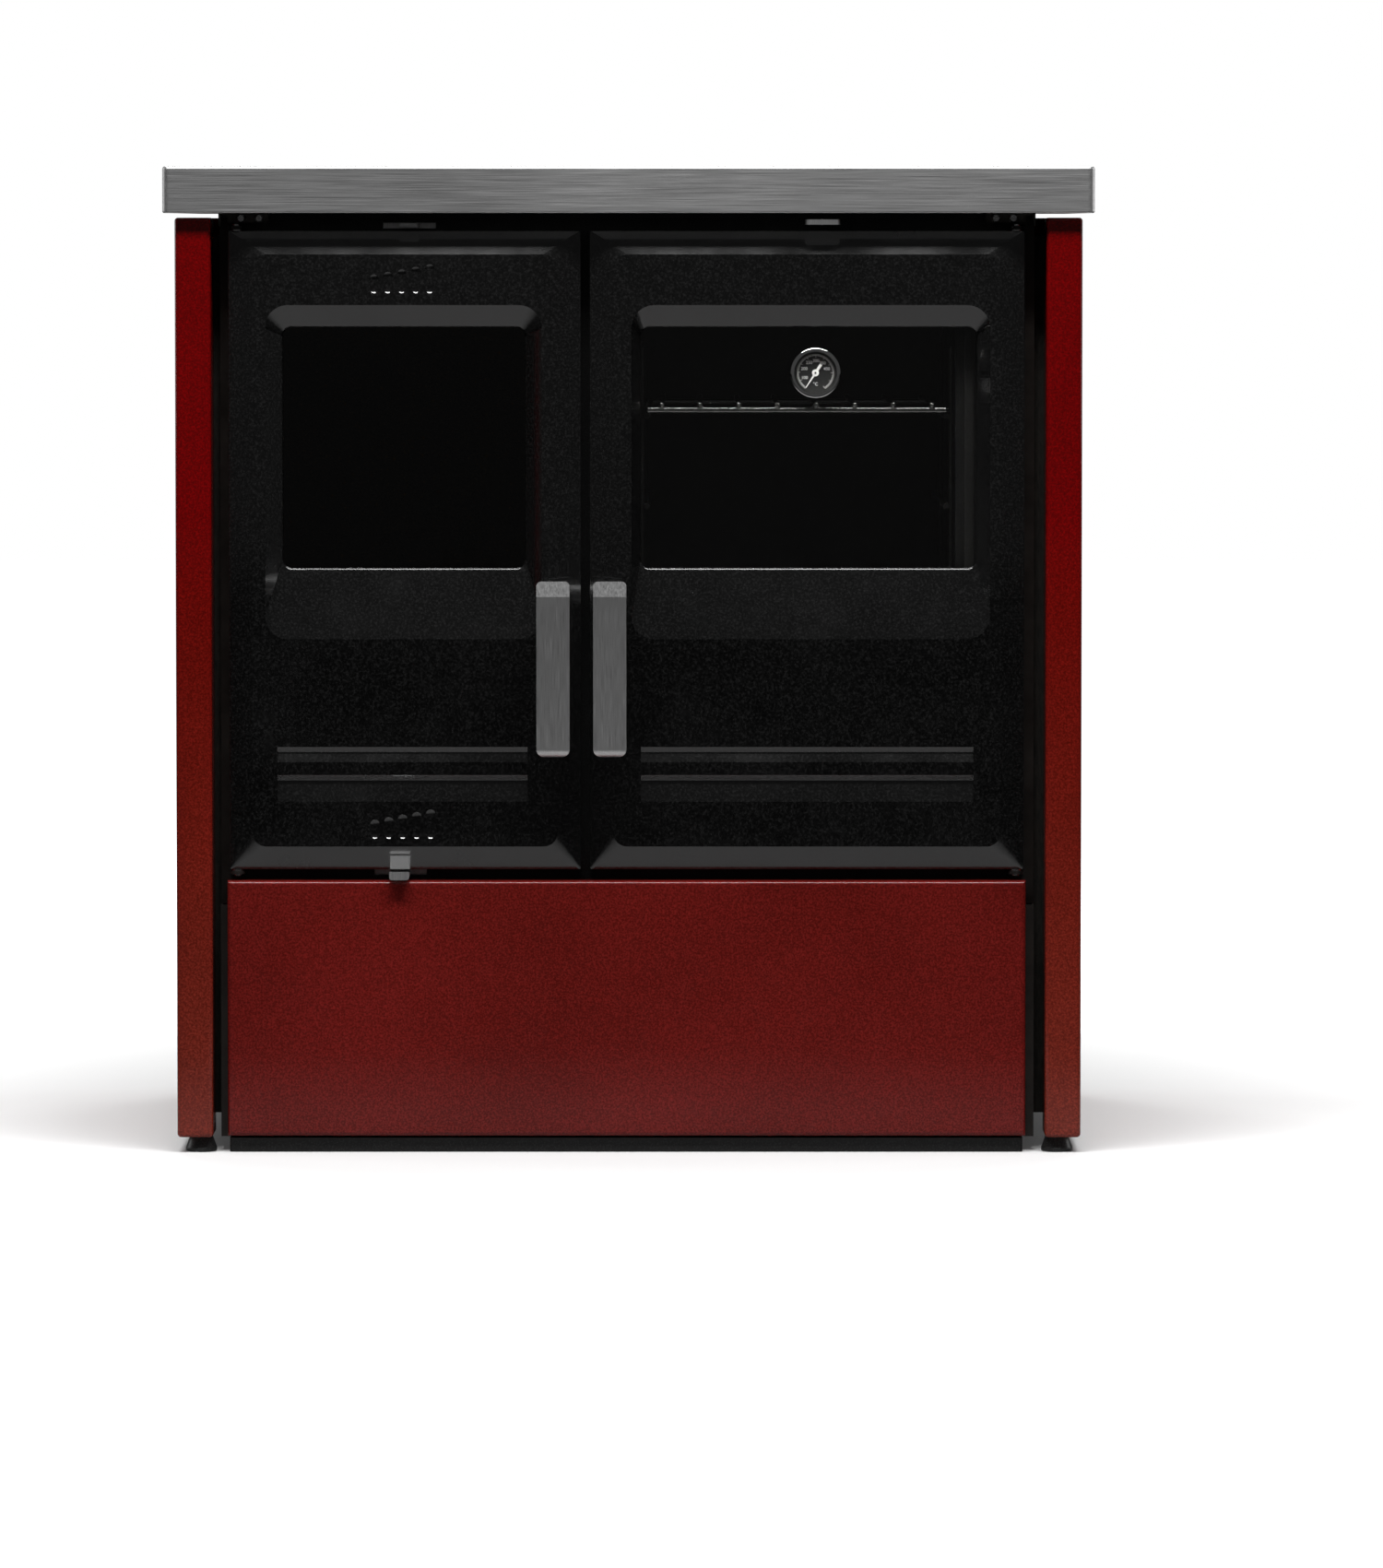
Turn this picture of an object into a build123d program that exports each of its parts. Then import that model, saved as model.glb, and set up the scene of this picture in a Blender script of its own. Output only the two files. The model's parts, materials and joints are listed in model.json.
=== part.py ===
from build123d import *
import os
from math import cos, sin, radians

# A wood-burning range cooker. Millimetres. The front faces -Y, +Z is up, and the origin is
# the middle of the cooker's footprint on the floor.

# ---------------------------------------------------------------- overall sizes
rim_width = 800.0            # worktop rim, left to right
rim_depth = 600.0            # worktop rim, front to back
total_height = 850.0
handle_reach = 25.0          # how far the door handles stand in front of the rim

rim_front = -(rim_depth + handle_reach) / 2 + handle_reach
rim_back = rim_front + rim_depth
rim_right = rim_width / 2
rim_height = 40.0
rim_bottom = total_height - rim_height

# ---------------------------------------------------------------- depths, from the rim's front
post_front = rim_front + 10.0
drawer_face = rim_front + 12.5
door_face = rim_front + 15.0
plinth_front = rim_front + 17.5
frame_front = rim_front + 49.5
frame_plate = 3.0
frame_back = frame_front + frame_plate
body_back = rim_back - 27.5  # outer face of the back panel
sheet = 2.0                  # steel sheet of walls and panels
inner_back = body_back - sheet

# ---------------------------------------------------------------- heights
plinth_height = 12.0
foot_height = 13.0
panel_top = rim_bottom - 4.0
frame_bottom = 213.0
drawer_bottom = plinth_height + 2.0
drawer_height = 221.0
drawer_top = drawer_bottom + drawer_height
mid_floor_plate = 3.0
mid_floor_top = frame_bottom + 23.0
mid_floor_bottom = mid_floor_top - mid_floor_plate
door_height = 550.0
door_bottom = mid_floor_top + 8.5
door_top = door_bottom + door_height

# ---------------------------------------------------------------- widths
side_inset = 10.0            # side panels stand this far inside the rim
panel_right = rim_right - side_inset
post_width = 31.0
post_depth = 50.0
rear_post_depth = 45.0
post_inner = panel_right - post_width
wall_gap_left = 6.0          # gap from the left post to the body's inner wall
wall_gap_right = 9.0
body_left = -post_inner + wall_gap_left
body_right = post_inner - wall_gap_right
wall_flange_left = 7.0       # front flanges of the inner walls, seen beside the doors
wall_flange_right = 8.0
frame_left = body_left + wall_flange_left
frame_right = body_right - wall_flange_right
door_margin = 1.5            # from the frame's edge to the door's edge
door_gap = 8.0               # between the two doors
fire_door_width = 303.0
fire_door_left = frame_left + door_margin
fire_door_right = fire_door_left + fire_door_width
oven_door_left = fire_door_right + door_gap
oven_door_right = frame_right - door_margin

touch = 0.3                  # clearance between pieces that nearly touch
running = 0.05               # radial clearance of a shaft in its hole


# ---------------------------------------------------------------- helpers
def block(x0, x1, y0, y1, z0, z1):
    """A box between two corners."""
    corner = Pos(min(x0, x1), min(y0, y1), min(z0, z1))
    return corner * Box(abs(x1 - x0), abs(y1 - y0), abs(z1 - z0), align=(Align.MIN,) * 3)


def front_plane(x, y, z):
    """A plane that faces the front, with its own x along +X and its own y along +Z."""
    return Plane(origin=(x, y, z), x_dir=(1, 0, 0), z_dir=(0, -1, 0))


def window(x0, x1, z0, z1, radius, y):
    """A rounded rectangle, upright, at the depth y."""
    plane = front_plane((x0 + x1) / 2, y, (z0 + z1) / 2)
    return plane * RectangleRounded(x1 - x0, z1 - z0, radius)


def window_block(x0, x1, y0, y1, z0, z1, radius):
    """A rounded rectangle carried from the depth y0 back to y1."""
    return extrude(window(x0, x1, z0, z1, radius, y0), amount=-(y1 - y0))


def frustum(front, back):
    """A straight-sided loft between two rounded rectangles, each (x0, x1, z0, z1, radius, y)."""
    return loft([window(*front), window(*back)], ruled=True)


def grown(outline, by, y, radius=None):
    """The outline (x0, x1, z0, z1, radius), larger by one distance all round, at depth y."""
    x0, x1, z0, z1, r = outline
    return (x0 - by, x1 + by, z0 - by, z1 + by, r + by if radius is None else radius, y)


def bar(start, end, radius):
    """A round bar between two points."""
    start, end = Vector(*start), Vector(*end)
    plane = Plane(origin=start, z_dir=end - start)
    return extrude(plane * Circle(radius), amount=(end - start).length)


def ring(start, end, outer, inner):
    """A tube between two points."""
    start, end = Vector(*start), Vector(*end)
    plane = Plane(origin=start, z_dir=end - start)
    return extrude(plane * (Circle(outer) - Circle(inner)), amount=(end - start).length)


def fused(pieces):
    """One shape from overlapping pieces."""
    whole = pieces[0]
    for piece in pieces[1:]:
        whole = whole + piece
    return whole


def save(name, *pieces):
    """Write one node. Pieces that are separate stay separate solids."""
    solids = [solid for piece in pieces for solid in piece.solids()]
    shape = solids[0] if len(solids) == 1 else Compound(solids)
    shape.label = name
    export_step(shape, f"parts/{name}.step")


os.makedirs("parts", exist_ok=True)


# ---------------------------------------------------------------- base pan and feet
pan_sheet = 3.0
pan_flange = 25.0
pan_left = frame_left + 1.0
pan_right = frame_right - 2.0


def base_pan():
    pan = block(pan_left, pan_right, plinth_front, inner_back, 0, plinth_height)
    inside = block(pan_left + pan_sheet, pan_right - pan_sheet, plinth_front + pan_sheet,
                   inner_back - pan_sheet, pan_sheet, plinth_height - pan_sheet)
    mouth = block(pan_left + pan_flange, pan_right - pan_flange, plinth_front + pan_flange,
                  inner_back - pan_flange, 0, pan_sheet)
    front_edges = pan.edges().filter_by(Axis.Z).sort_by(Axis.Y)[:2]
    return fillet(front_edges, pan_sheet) - inside - mouth


foot_radius = 13.5
foot_top_radius = 10.0
foot_stem_radius = 4.0
foot_stem = 20.0
foot_x = post_inner + post_width / 2 - 4.5
foot_ys = (post_front + 18.0, body_back - rear_post_depth / 2)


def foot(x, y):
    """A flared levelling pad with its threaded stem."""
    rounding = 1.2
    outline = Polyline((0, 0), (foot_radius, 0), (foot_radius, 3.0),
                       (foot_top_radius, foot_height), (foot_stem_radius, foot_height),
                       (foot_stem_radius, foot_height + foot_stem), (0, foot_height + foot_stem),
                       close=True)
    pad = revolve(Plane.XZ * make_face(outline), Axis.Z)
    bottom = pad.edges().filter_by(GeomType.CIRCLE).sort_by(Axis.Z)[0]
    return Pos(x, y, 0) * fillet(bottom, rounding)


save("base_pan", base_pan())
save("adjuster_feet", *[foot(side * foot_x, y) for side in (-1, 1) for y in foot_ys])


# ---------------------------------------------------------------- side panels
post_rounding = 4.0


def hollow_post(side, y0, y1, rounded_y):
    """A folded box post of a side panel, with its two corners at rounded_y rounded."""
    outer, inner = side * panel_right, side * post_inner
    post = block(outer, inner, y0, y1, foot_height, panel_top)
    uprights = post.edges().filter_by(Axis.Z).filter_by_position(Axis.Y, rounded_y, rounded_y)
    post = fillet(uprights, post_rounding)
    face = post.faces().filter_by(Axis.Y)
    face = face.sort_by(Axis.Y)[0] if rounded_y < 0 else face.sort_by(Axis.Y)[-1]
    ends = post.edges().filter_by_position(Axis.Y, rounded_y - post_rounding - 0.01,
                                           rounded_y + post_rounding + 0.01)
    ends = ends.filter_by_position(Axis.Z, foot_height, foot_height) + \
        ends.filter_by_position(Axis.Z, panel_top, panel_top)
    post = fillet(ends, post_rounding - 1.0)
    hollow = block(outer - side * sheet, inner + side * sheet, y0 + sheet, y1 - sheet,
                   foot_height + sheet, panel_top - sheet)
    hollow = fillet(hollow.edges().filter_by(Axis.Z), post_rounding - sheet)
    return post - hollow


def side_panel(side):
    """An enamelled skin with a box post along its front and its back edge."""
    front = hollow_post(side, post_front, post_front + post_depth, post_front)
    rear = hollow_post(side, body_back - rear_post_depth, body_back, body_back)
    outer = side * panel_right
    skin = block(outer, outer - side * sheet, post_front + post_depth - sheet,
                 body_back - rear_post_depth + sheet, foot_height, panel_top)
    panel = front + rear + skin
    for y in foot_ys:
        panel -= bar((side * foot_x, y, foot_height - 1), (side * foot_x, y, foot_height + 4),
                     foot_stem_radius + running)
    return panel


save("left_side_panel", side_panel(-1))
save("right_side_panel", side_panel(1))


# ---------------------------------------------------------------- carcass walls and floors
wall_foot = 23.0             # flange of an inner wall on the base pan
flue_radius = 75.0           # bore of the flue collar
flue_x = 165.0
flue_z = 665.0
collar_wall = 2.5
collar_flange = 14.0
collar_flange_plate = 2.5


def inner_wall(outer, inward, front_flange):
    """An upright wall with a flange to the front and a foot on the base pan."""
    web = block(outer, outer + inward * sheet, frame_front, inner_back, plinth_height, panel_top)
    notch = block(outer, outer + inward * sheet, frame_front, frame_back, plinth_height,
                  frame_bottom)
    flange = block(outer, outer + inward * front_flange, frame_front, frame_back,
                   frame_bottom, panel_top)
    sole = block(outer, outer + inward * wall_foot, frame_back, inner_back,
                 plinth_height, plinth_height + sheet)
    return web - notch + flange + sole


column_depth = 20.0
column_wall = 1.5


def bay_column(outer, inward, width):
    """A narrow channel beside the drawer, open at its back."""
    far = outer + inward * width
    column = block(outer, far, frame_back - column_depth, frame_back, plinth_height,
                   frame_bottom)
    channel = block(outer + inward * column_wall, far - inward * column_wall,
                    frame_back - column_depth + column_wall, frame_back,
                    plinth_height, frame_bottom)
    return column - channel


def back_panel():
    plate = block(-post_inner, post_inner, inner_back, body_back, foot_height, panel_top)
    hole = bar((flue_x, inner_back - 1, flue_z), (flue_x, body_back + 1, flue_z),
               flue_radius + collar_wall + touch)
    return plate - hole


save("left_inner_wall", inner_wall(body_left, 1, wall_flange_left))
save("right_inner_wall", inner_wall(body_right, -1, wall_flange_right))
save("bay_columns", bay_column(body_left, 1, wall_flange_left),
     bay_column(body_right, -1, wall_flange_right))
save("back_panel", back_panel())
save("mid_floor", block(body_left + sheet, body_right - sheet, frame_back, inner_back,
                        mid_floor_bottom, mid_floor_top))

# ---------------------------------------------------------------- front frame
fire_left = fire_door_left + 34.5       # opening of the firebox in the frame
fire_right = fire_left + 225.0
fire_bottom = mid_floor_top + 30.0
mullion = 93.0                          # between the two openings
oven_left = fire_right + mullion
oven_right = oven_left + 274.0
oven_bottom = mid_floor_top + 64.0
opening_top = door_top - 54.5
opening_radius = 8.0

air_pitch = 24.0                        # slots of the air slides
air_slot = 12.0
air_slots = 5
air_travel = 12.0                       # each way from half open
tab_thick = 3.0

upper_tab_x = -189.3
upper_tab_width = 17.4
upper_tab_bottom = door_top + 3.3
upper_slot_z = (door_top - 22.0, door_top - 12.0)
lower_tab_x = -197.9
lower_tab_width = 17.2
lower_tab_bottom = mid_floor_top + 2.5
lower_slot_z = (mid_floor_top + 7.5, mid_floor_top + 14.5)

damper_x = 166.7
damper_width = 30.0
damper_z = panel_top - 3.75
damper_rod = 2.5
stud_radius = 2.5


def slot_centres(x):
    """Where the air slots lie along X, in a row centred on x."""
    return [x + (i - (air_slots - 1) / 2) * air_pitch for i in range(air_slots)]


def air_openings(x, slot_z, y0, y1, shift=0.0):
    return [block(c + shift - air_slot / 2, c + shift + air_slot / 2, y0, y1, *slot_z)
            for c in slot_centres(x)]


def tab_opening(x, width, z):
    """The hole in the frame in which an air tab runs."""
    reach = width / 2 + air_travel + 2.0
    return block(x - reach, x + reach, frame_front, frame_back, z - 1.0, z + tab_thick + 1.0)


def front_frame():
    plate = block(frame_left, frame_right, frame_front, frame_back, frame_bottom, panel_top)
    plate -= window_block(fire_left, fire_right, frame_front, frame_back, fire_bottom,
                          opening_top, opening_radius)
    plate -= window_block(oven_left, oven_right, frame_front, frame_back, oven_bottom,
                          opening_top, opening_radius)
    for x, slot_z in ((upper_tab_x, upper_slot_z), (lower_tab_x, lower_slot_z)):
        for hole in air_openings(x, slot_z, frame_front, frame_back):
            plate -= hole
    plate -= tab_opening(upper_tab_x, upper_tab_width, upper_tab_bottom)
    plate -= tab_opening(lower_tab_x, lower_tab_width, lower_tab_bottom)
    plate -= bar((damper_x, frame_front - 1, damper_z), (damper_x, frame_back + 1, damper_z),
                 damper_rod + running)
    return plate


save("front_frame", front_frame())

# ---------------------------------------------------------------- firebox
casing_plate = 3.0
brick = 33.0
brick_step = 5.0              # the lower course is thicker and carries the grate
brick_joint = 0.5
fire_side = 3.0               # bricks stand this far outside the frame's opening
casing_front = frame_back + 4.5
fire_depth = 390.0
fire_back = casing_front + fire_depth
casing_top = opening_top + 2.0
grate_thick = 12.0
lower_course_top = fire_bottom + 64.0
grate_top = lower_course_top + grate_thick
ash_gap = 26.0                # air gap in front of the firebox floor


def firebox_casing():
    x0, x1 = fire_left - fire_side - brick, fire_right + fire_side + brick
    back = fire_back + brick
    walls = block(x0 - casing_plate, x1 + casing_plate, casing_front, back + casing_plate,
                  mid_floor_top, casing_top)
    walls -= block(x0, x1, casing_front, back, mid_floor_top, casing_top)
    floor = block(x0, x1, casing_front + ash_gap, back, fire_bottom - casing_plate, fire_bottom)
    return walls + floor


def fire_bricks():
    x0, x1 = fire_left - fire_side, fire_right + fire_side
    back = fire_back + brick
    middle = (casing_front + ash_gap + back) / 2
    low, split, top = fire_bottom, lower_course_top, casing_top - 3.0
    bricks = []
    for face, outward in ((x0, -1), (x1, 1)):
        outer = face + outward * brick
        bricks.append(block(face - outward * brick_step, outer, casing_front + ash_gap, back,
                            low, split))
        bricks.append(block(face, outer, casing_front, middle, split, top))
        bricks.append(block(face, outer, middle + brick_joint, back, split, top))
    bricks.append(block(x0 + brick_step, x1 - brick_step, fire_back - brick_step, back,
                        low, split))
    bricks.append(block(x0, x1, fire_back, back, split, top))
    return bricks


grate_gap = 0.5
grate_slots = 9
grate_slot = 10.0


def fire_grate():
    x0, x1 = fire_left - fire_side + grate_gap, fire_right + fire_side - grate_gap
    y0, y1 = casing_front + 2.0, fire_back - grate_gap
    grate = block(x0, x1, y0, y1, lower_course_top, grate_top)
    pitch = (x1 - x0 - 20.0) / grate_slots
    for row in range(3):
        length = (y1 - y0 - 20.0) / 3
        start = y0 + 10.0 + row * length + 5.0
        for i in range(grate_slots):
            x = x0 + 10.0 + (i + 0.5) * pitch
            grate -= block(x - grate_slot / 2, x + grate_slot / 2, start, start + length - 10.0,
                           lower_course_top, grate_top)
    return grate


ash_wall = 1.5
ash_height = 48.0
ash_side = 5.0


def ash_pan():
    x0 = fire_left - fire_side + brick_step + ash_side
    x1 = fire_right + fire_side - brick_step - ash_side
    y0, y1 = casing_front + 8.5, fire_back - brick_step - 5.0
    z0, z1 = fire_bottom, fire_bottom + ash_height
    pan = block(x0, x1, y0, y1, z0, z1)
    pan -= block(x0 + ash_wall, x1 - ash_wall, y0 + ash_wall, y1 - ash_wall, z0 + ash_wall, z1)
    middle = (x0 + x1) / 2
    lip = block(middle - 30, middle + 30, y0 - 6, y0, z1 - 14, z1 - 12)
    return pan + lip


guard_bar = 5.0
guard_height = 45.0


def log_guard():
    """A low fence that stands on the grate and keeps logs off the door glass."""
    x0, x1 = fire_left - fire_side + 2.0, fire_right + fire_side - 2.0
    y = casing_front + 10.0
    rails = [bar((x0, y, grate_top + z), (x1, y, grate_top + z), guard_bar)
             for z in (guard_bar, guard_height)]
    posts = [bar((x, y, grate_top + guard_bar), (x, y, grate_top + guard_height), guard_bar - 1)
             for x in [x0 + 14 + i * (x1 - x0 - 28) / 4 for i in range(5)]]
    return fused(rails + posts)


save("firebox_casing", firebox_casing())
save("fire_bricks", *fire_bricks())
save("fire_grate", fire_grate())
save("ash_pan", ash_pan())
save("log_guard", log_guard())

# ---------------------------------------------------------------- oven
oven_depth = 420.0
oven_back = frame_back + oven_depth
rack_z = 640.0
rack_levels = 4
rack_step = 78.0
guide_wire = 2.5             # radius
rack_rod = 3.0               # radius
rack_wire = 2.0              # radius
rack_wires = 8
rack_pitch = 33.4


def oven_box():
    box = block(oven_left - sheet, oven_right + sheet, frame_back, oven_back,
                oven_bottom - sheet, opening_top + sheet)
    return box - block(oven_left, oven_right, frame_back, oven_back - sheet,
                       oven_bottom, opening_top)


def rack_guide(wall, inward):
    """A wire ladder on one oven wall. Its long wires carry the rack."""
    post_x = wall + inward * (guide_wire + touch)
    rail_x = post_x + inward * (2 * guide_wire - 0.5)
    y0, y1 = frame_back + 20.0, oven_back - 25.0
    top_rail = rack_z - rack_rod - guide_wire - 0.1
    wires = [bar((rail_x, y0, top_rail - i * rack_step), (rail_x, y1, top_rail - i * rack_step),
                 guide_wire) for i in range(rack_levels)]
    low = top_rail - (rack_levels - 1) * rack_step - 30.0
    wires += [bar((post_x, y, low), (post_x, y, top_rail + 60.0), guide_wire)
              for y in (y0 + 15.0, y1 - 15.0)]
    return fused(wires)


def oven_rack():
    side = 2 * guide_wire + touch + guide_wire + 0.7
    x0, x1 = oven_left + side, oven_right - side
    y0, y1 = frame_back + 12.0, oven_back - 15.0
    corners = [(x0, y0), (x1, y0), (x1, y1), (x0, y1)]
    frame = [bar((*corners[i], rack_z), (*corners[(i + 1) % 4], rack_z), rack_rod)
             for i in range(4)]
    knuckles = [Pos(x, y, rack_z) * Sphere(rack_rod) for x, y in corners]
    middle = (x0 + x1) / 2
    wire_z = rack_z + rack_rod + rack_wire - 0.6
    wires = [bar((middle + (i - (rack_wires - 1) / 2) * rack_pitch, y0 - 2, wire_z),
                 (middle + (i - (rack_wires - 1) / 2) * rack_pitch, y1 + 2, wire_z), rack_wire)
             for i in range(rack_wires)]
    return fused(frame + knuckles + wires)


save("oven_box", oven_box())
save("rack_guides", rack_guide(oven_left, 1), rack_guide(oven_right, -1))
save("oven_rack", oven_rack())

# ---------------------------------------------------------------- flue
flue_box_width = 170.0
flue_box_drop = 95.0         # below the collar's axis
throat_width = 130.0
throat_height = 44.0
flue_box_front = oven_back + 5.0
flue_box_top = panel_top - 6.0
throat_bottom = flue_box_top - 6.0 - throat_height
collar_reach = 26.0


def flue_box():
    x0, x1 = flue_x - flue_box_width / 2, flue_x + flue_box_width / 2
    z0 = flue_z - flue_box_drop
    box = block(x0, x1, flue_box_front, inner_back, z0, flue_box_top)
    box -= block(x0 + sheet, x1 - sheet, flue_box_front + sheet, inner_back - sheet,
                 z0 + sheet, flue_box_top - sheet)
    box -= block(flue_x - throat_width / 2, flue_x + throat_width / 2, flue_box_front,
                 flue_box_front + sheet, throat_bottom, throat_bottom + throat_height)
    return box - bar((flue_x, inner_back - sheet - 1, flue_z), (flue_x, inner_back + 1, flue_z),
                     flue_radius + collar_wall + touch)


def flue_collar():
    back = body_back + collar_reach
    spigot = ring((flue_x, inner_back - sheet, flue_z), (flue_x, back, flue_z),
                  flue_radius + collar_wall, flue_radius)
    flange = ring((flue_x, body_back, flue_z), (flue_x, body_back + collar_flange_plate, flue_z),
                  flue_radius + collar_wall + collar_flange, flue_radius)
    return spigot + flange


save("flue_box", flue_box())
save("flue_collar", flue_collar())

# ---------------------------------------------------------------- hob frame, hob and rim
hob_plate_thick = 8.0
hob_side = 326.0             # half width of the rim's opening
hob_front = rim_front + 61.5
hob_back = rim_back - 76.5
hob_gap = 3.0
hob_seat_z = total_height - hob_plate_thick
hob_wall = 4.0
hob_ledge = 20.0             # how far the seat reaches under the hob plate
ring_radius = 105.0
ring_step = 6.0
disc_radius = 62.0
ring_gap = 0.5
ring_x = (fire_left + fire_right) / 2
ring_y = (casing_front + fire_back) / 2


def hob_frame():
    frame = block(body_left, body_right, frame_front, body_back, panel_top, hob_seat_z)
    frame -= block(body_left + hob_wall, body_right - hob_wall, frame_front + hob_wall,
                   body_back - hob_wall, panel_top, hob_seat_z - hob_wall)
    return frame - block(-hob_side + hob_ledge, hob_side - hob_ledge, hob_front + hob_ledge,
                         hob_back - hob_ledge, hob_seat_z - hob_wall, hob_seat_z)


def stepped_hole(radius):
    """A round hole with a ledge half way down its depth."""
    middle = hob_seat_z + hob_plate_thick / 2
    return (bar((ring_x, ring_y, middle), (ring_x, ring_y, total_height + 1), radius)
            + bar((ring_x, ring_y, hob_seat_z - 1), (ring_x, ring_y, middle),
                  radius - ring_step))


def stepped_disc(radius):
    """A disc that drops into a stepped hole of the same nominal radius."""
    middle = hob_seat_z + hob_plate_thick / 2
    return (bar((ring_x, ring_y, middle), (ring_x, ring_y, total_height), radius - ring_gap)
            + bar((ring_x, ring_y, hob_seat_z), (ring_x, ring_y, middle),
                  radius - ring_step - ring_gap))


lifter_notch = 5.0           # radius of the notches for the lifting hook


def lifter(radius):
    """A notch in the top of a ring or disc, at its front."""
    y = ring_y - radius + 16.0
    return bar((ring_x, y, total_height - 4), (ring_x, y, total_height + 1), lifter_notch)


def hob_plate():
    plate = block(-hob_side + hob_gap, hob_side - hob_gap, hob_front + hob_gap,
                  hob_back - hob_gap, hob_seat_z, total_height)
    plate = fillet(plate.edges().filter_by(Axis.Z), 4.0)
    plate = chamfer(plate.edges().group_by(Axis.Z)[-1], 1.2)
    return plate - stepped_hole(ring_radius)


rim_sheet = 2.0
rim_corner = 6.0
rim_edge = 2.5               # rounding along the rim's top edge
rim_fold = 1.5               # rounding along its bottom fold
rim_return = 32.0            # flange turned in under the rim
rim_back_return = 20.0


def worktop_rim():
    rim = block(-rim_right, rim_right, rim_front, rim_back, rim_bottom, total_height)
    rim = fillet(rim.edges().filter_by(Axis.Z), rim_corner)
    rim = fillet(rim.edges().group_by(Axis.Z)[-1], rim_edge)
    rim = fillet(rim.edges().group_by(Axis.Z)[0], rim_fold)
    hollow = block(-rim_right + rim_sheet, rim_right - rim_sheet, rim_front + rim_sheet,
                   rim_back - rim_sheet, rim_bottom + rim_sheet, total_height - rim_sheet)
    hollow = fillet(hollow.edges().filter_by(Axis.Z), rim_corner - rim_sheet)
    lip = block(-hob_side - rim_sheet, hob_side + rim_sheet, hob_front - rim_sheet,
                hob_back + rim_sheet, hob_seat_z, total_height)
    under = block(-rim_right + rim_return, rim_right - rim_return, rim_front + rim_return,
                  rim_back - rim_back_return, rim_bottom, rim_bottom + rim_sheet)
    opening = block(-hob_side, hob_side, hob_front, hob_back, rim_bottom, total_height)
    return rim - hollow - under + lip - opening


save("hob_frame", hob_frame())
save("hob_plate", hob_plate())
save("hob_ring", stepped_disc(ring_radius) - stepped_hole(disc_radius) - lifter(ring_radius))
save("hob_disc", stepped_disc(disc_radius) - lifter(disc_radius))
save("worktop_rim", worktop_rim())

# ---------------------------------------------------------------- rim brackets
bracket_front = rim_front + 25.5
bracket_plate = 2.0
bracket_left = (body_left, frame_left + 36.0)      # outer and inner end along X
bracket_right = (body_right, frame_right - 35.0)
bracket_drop = 8.0
bracket_flange_drop = 11.0
screw_head = 3.5
screw_shank = 2.0
screw_z = rim_bottom - 4.6
left_screws = (12.5, 28.0)   # from the frame's edge inwards
right_screws = (11.0, 26.0)


def rim_bracket(outer, inner, screws):
    """An angle under the rim's front flange, with an ear back to the body."""
    inward = 1 if inner > outer else -1
    ear = block(outer, outer + inward * bracket_plate, bracket_front, frame_front,
                rim_bottom - bracket_flange_drop, rim_bottom)
    front = block(outer + inward * 8.0, inner, bracket_front, bracket_front + bracket_plate,
                  rim_bottom - bracket_drop, rim_bottom)
    top = block(outer, inner, bracket_front, frame_front, rim_bottom - bracket_plate, rim_bottom)
    bracket = ear + front + top
    for x in screws:
        bracket -= bar((x, bracket_front, screw_z), (x, bracket_front + bracket_plate, screw_z),
                       screw_shank + running)
    return bracket


def round_screw(x):
    """A round-head screw that faces the front."""
    head = Pos(x, bracket_front, screw_z) * Sphere(screw_head)
    head = head & block(x - screw_head, x + screw_head, bracket_front - 2.4, bracket_front,
                        screw_z - screw_head, screw_z + screw_head)
    shank = bar((x, bracket_front, screw_z), (x, bracket_front + 7.0, screw_z), screw_shank)
    recess = block(x - 0.5, x + 0.5, bracket_front - 3.0, bracket_front - 1.4,
                   screw_z - 2.2, screw_z + 2.2)
    cross = block(x - 2.2, x + 2.2, bracket_front - 3.0, bracket_front - 1.4,
                  screw_z - 0.5, screw_z + 0.5)
    return head + shank - recess - cross


left_screw_x = [frame_left + x for x in left_screws]
right_screw_x = [frame_right - x for x in right_screws]
save("rim_brackets", rim_bracket(*bracket_left, left_screw_x),
     rim_bracket(*bracket_right, right_screw_x))
save("bracket_screws", *[round_screw(x) for x in left_screw_x + right_screw_x])

# ---------------------------------------------------------------- hinges and catches
door_depth = 32.0
door_back = door_face + door_depth
hinge_y = door_face + 14.5
hinge_inset = 6.5            # from the door's outer edge to the hinge axis
fire_hinge_x = fire_door_left + hinge_inset
oven_hinge_x = oven_door_right - hinge_inset
pin_radius = 3.0
pin_collar = 5.0             # radius of the collar that carries the door
pin_reach = 18.0             # how far a pin stands into the door
hinge_width = 13.0
hinge_plate = 3.0
hinge_gap = 1.5              # between a hinge bracket and the door
hinge_nose = 8.0
hinge_leg = 16.0


def hinge_bracket(x, door_edge, up):
    """An angle on the frame, above (up = 1) or below (up = -1) a door."""
    near = door_edge + up * hinge_gap
    far = near + up * hinge_plate
    plate = block(x - hinge_width / 2, x + hinge_width / 2, hinge_y - hinge_nose, frame_front,
                  near, far)
    nose = plate.edges().filter_by(Axis.Z).sort_by(Axis.Y)[:2]
    plate = fillet(nose, hinge_width / 2 - 0.5)
    leg_end = panel_top - 1.0 if up > 0 else near - hinge_leg
    leg = block(x - hinge_width / 2, x + hinge_width / 2, frame_front - 2.0, frame_front,
                near, leg_end)
    return plate + leg - bar((x, hinge_y, near - up), (x, hinge_y, far + up), pin_radius)


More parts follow.
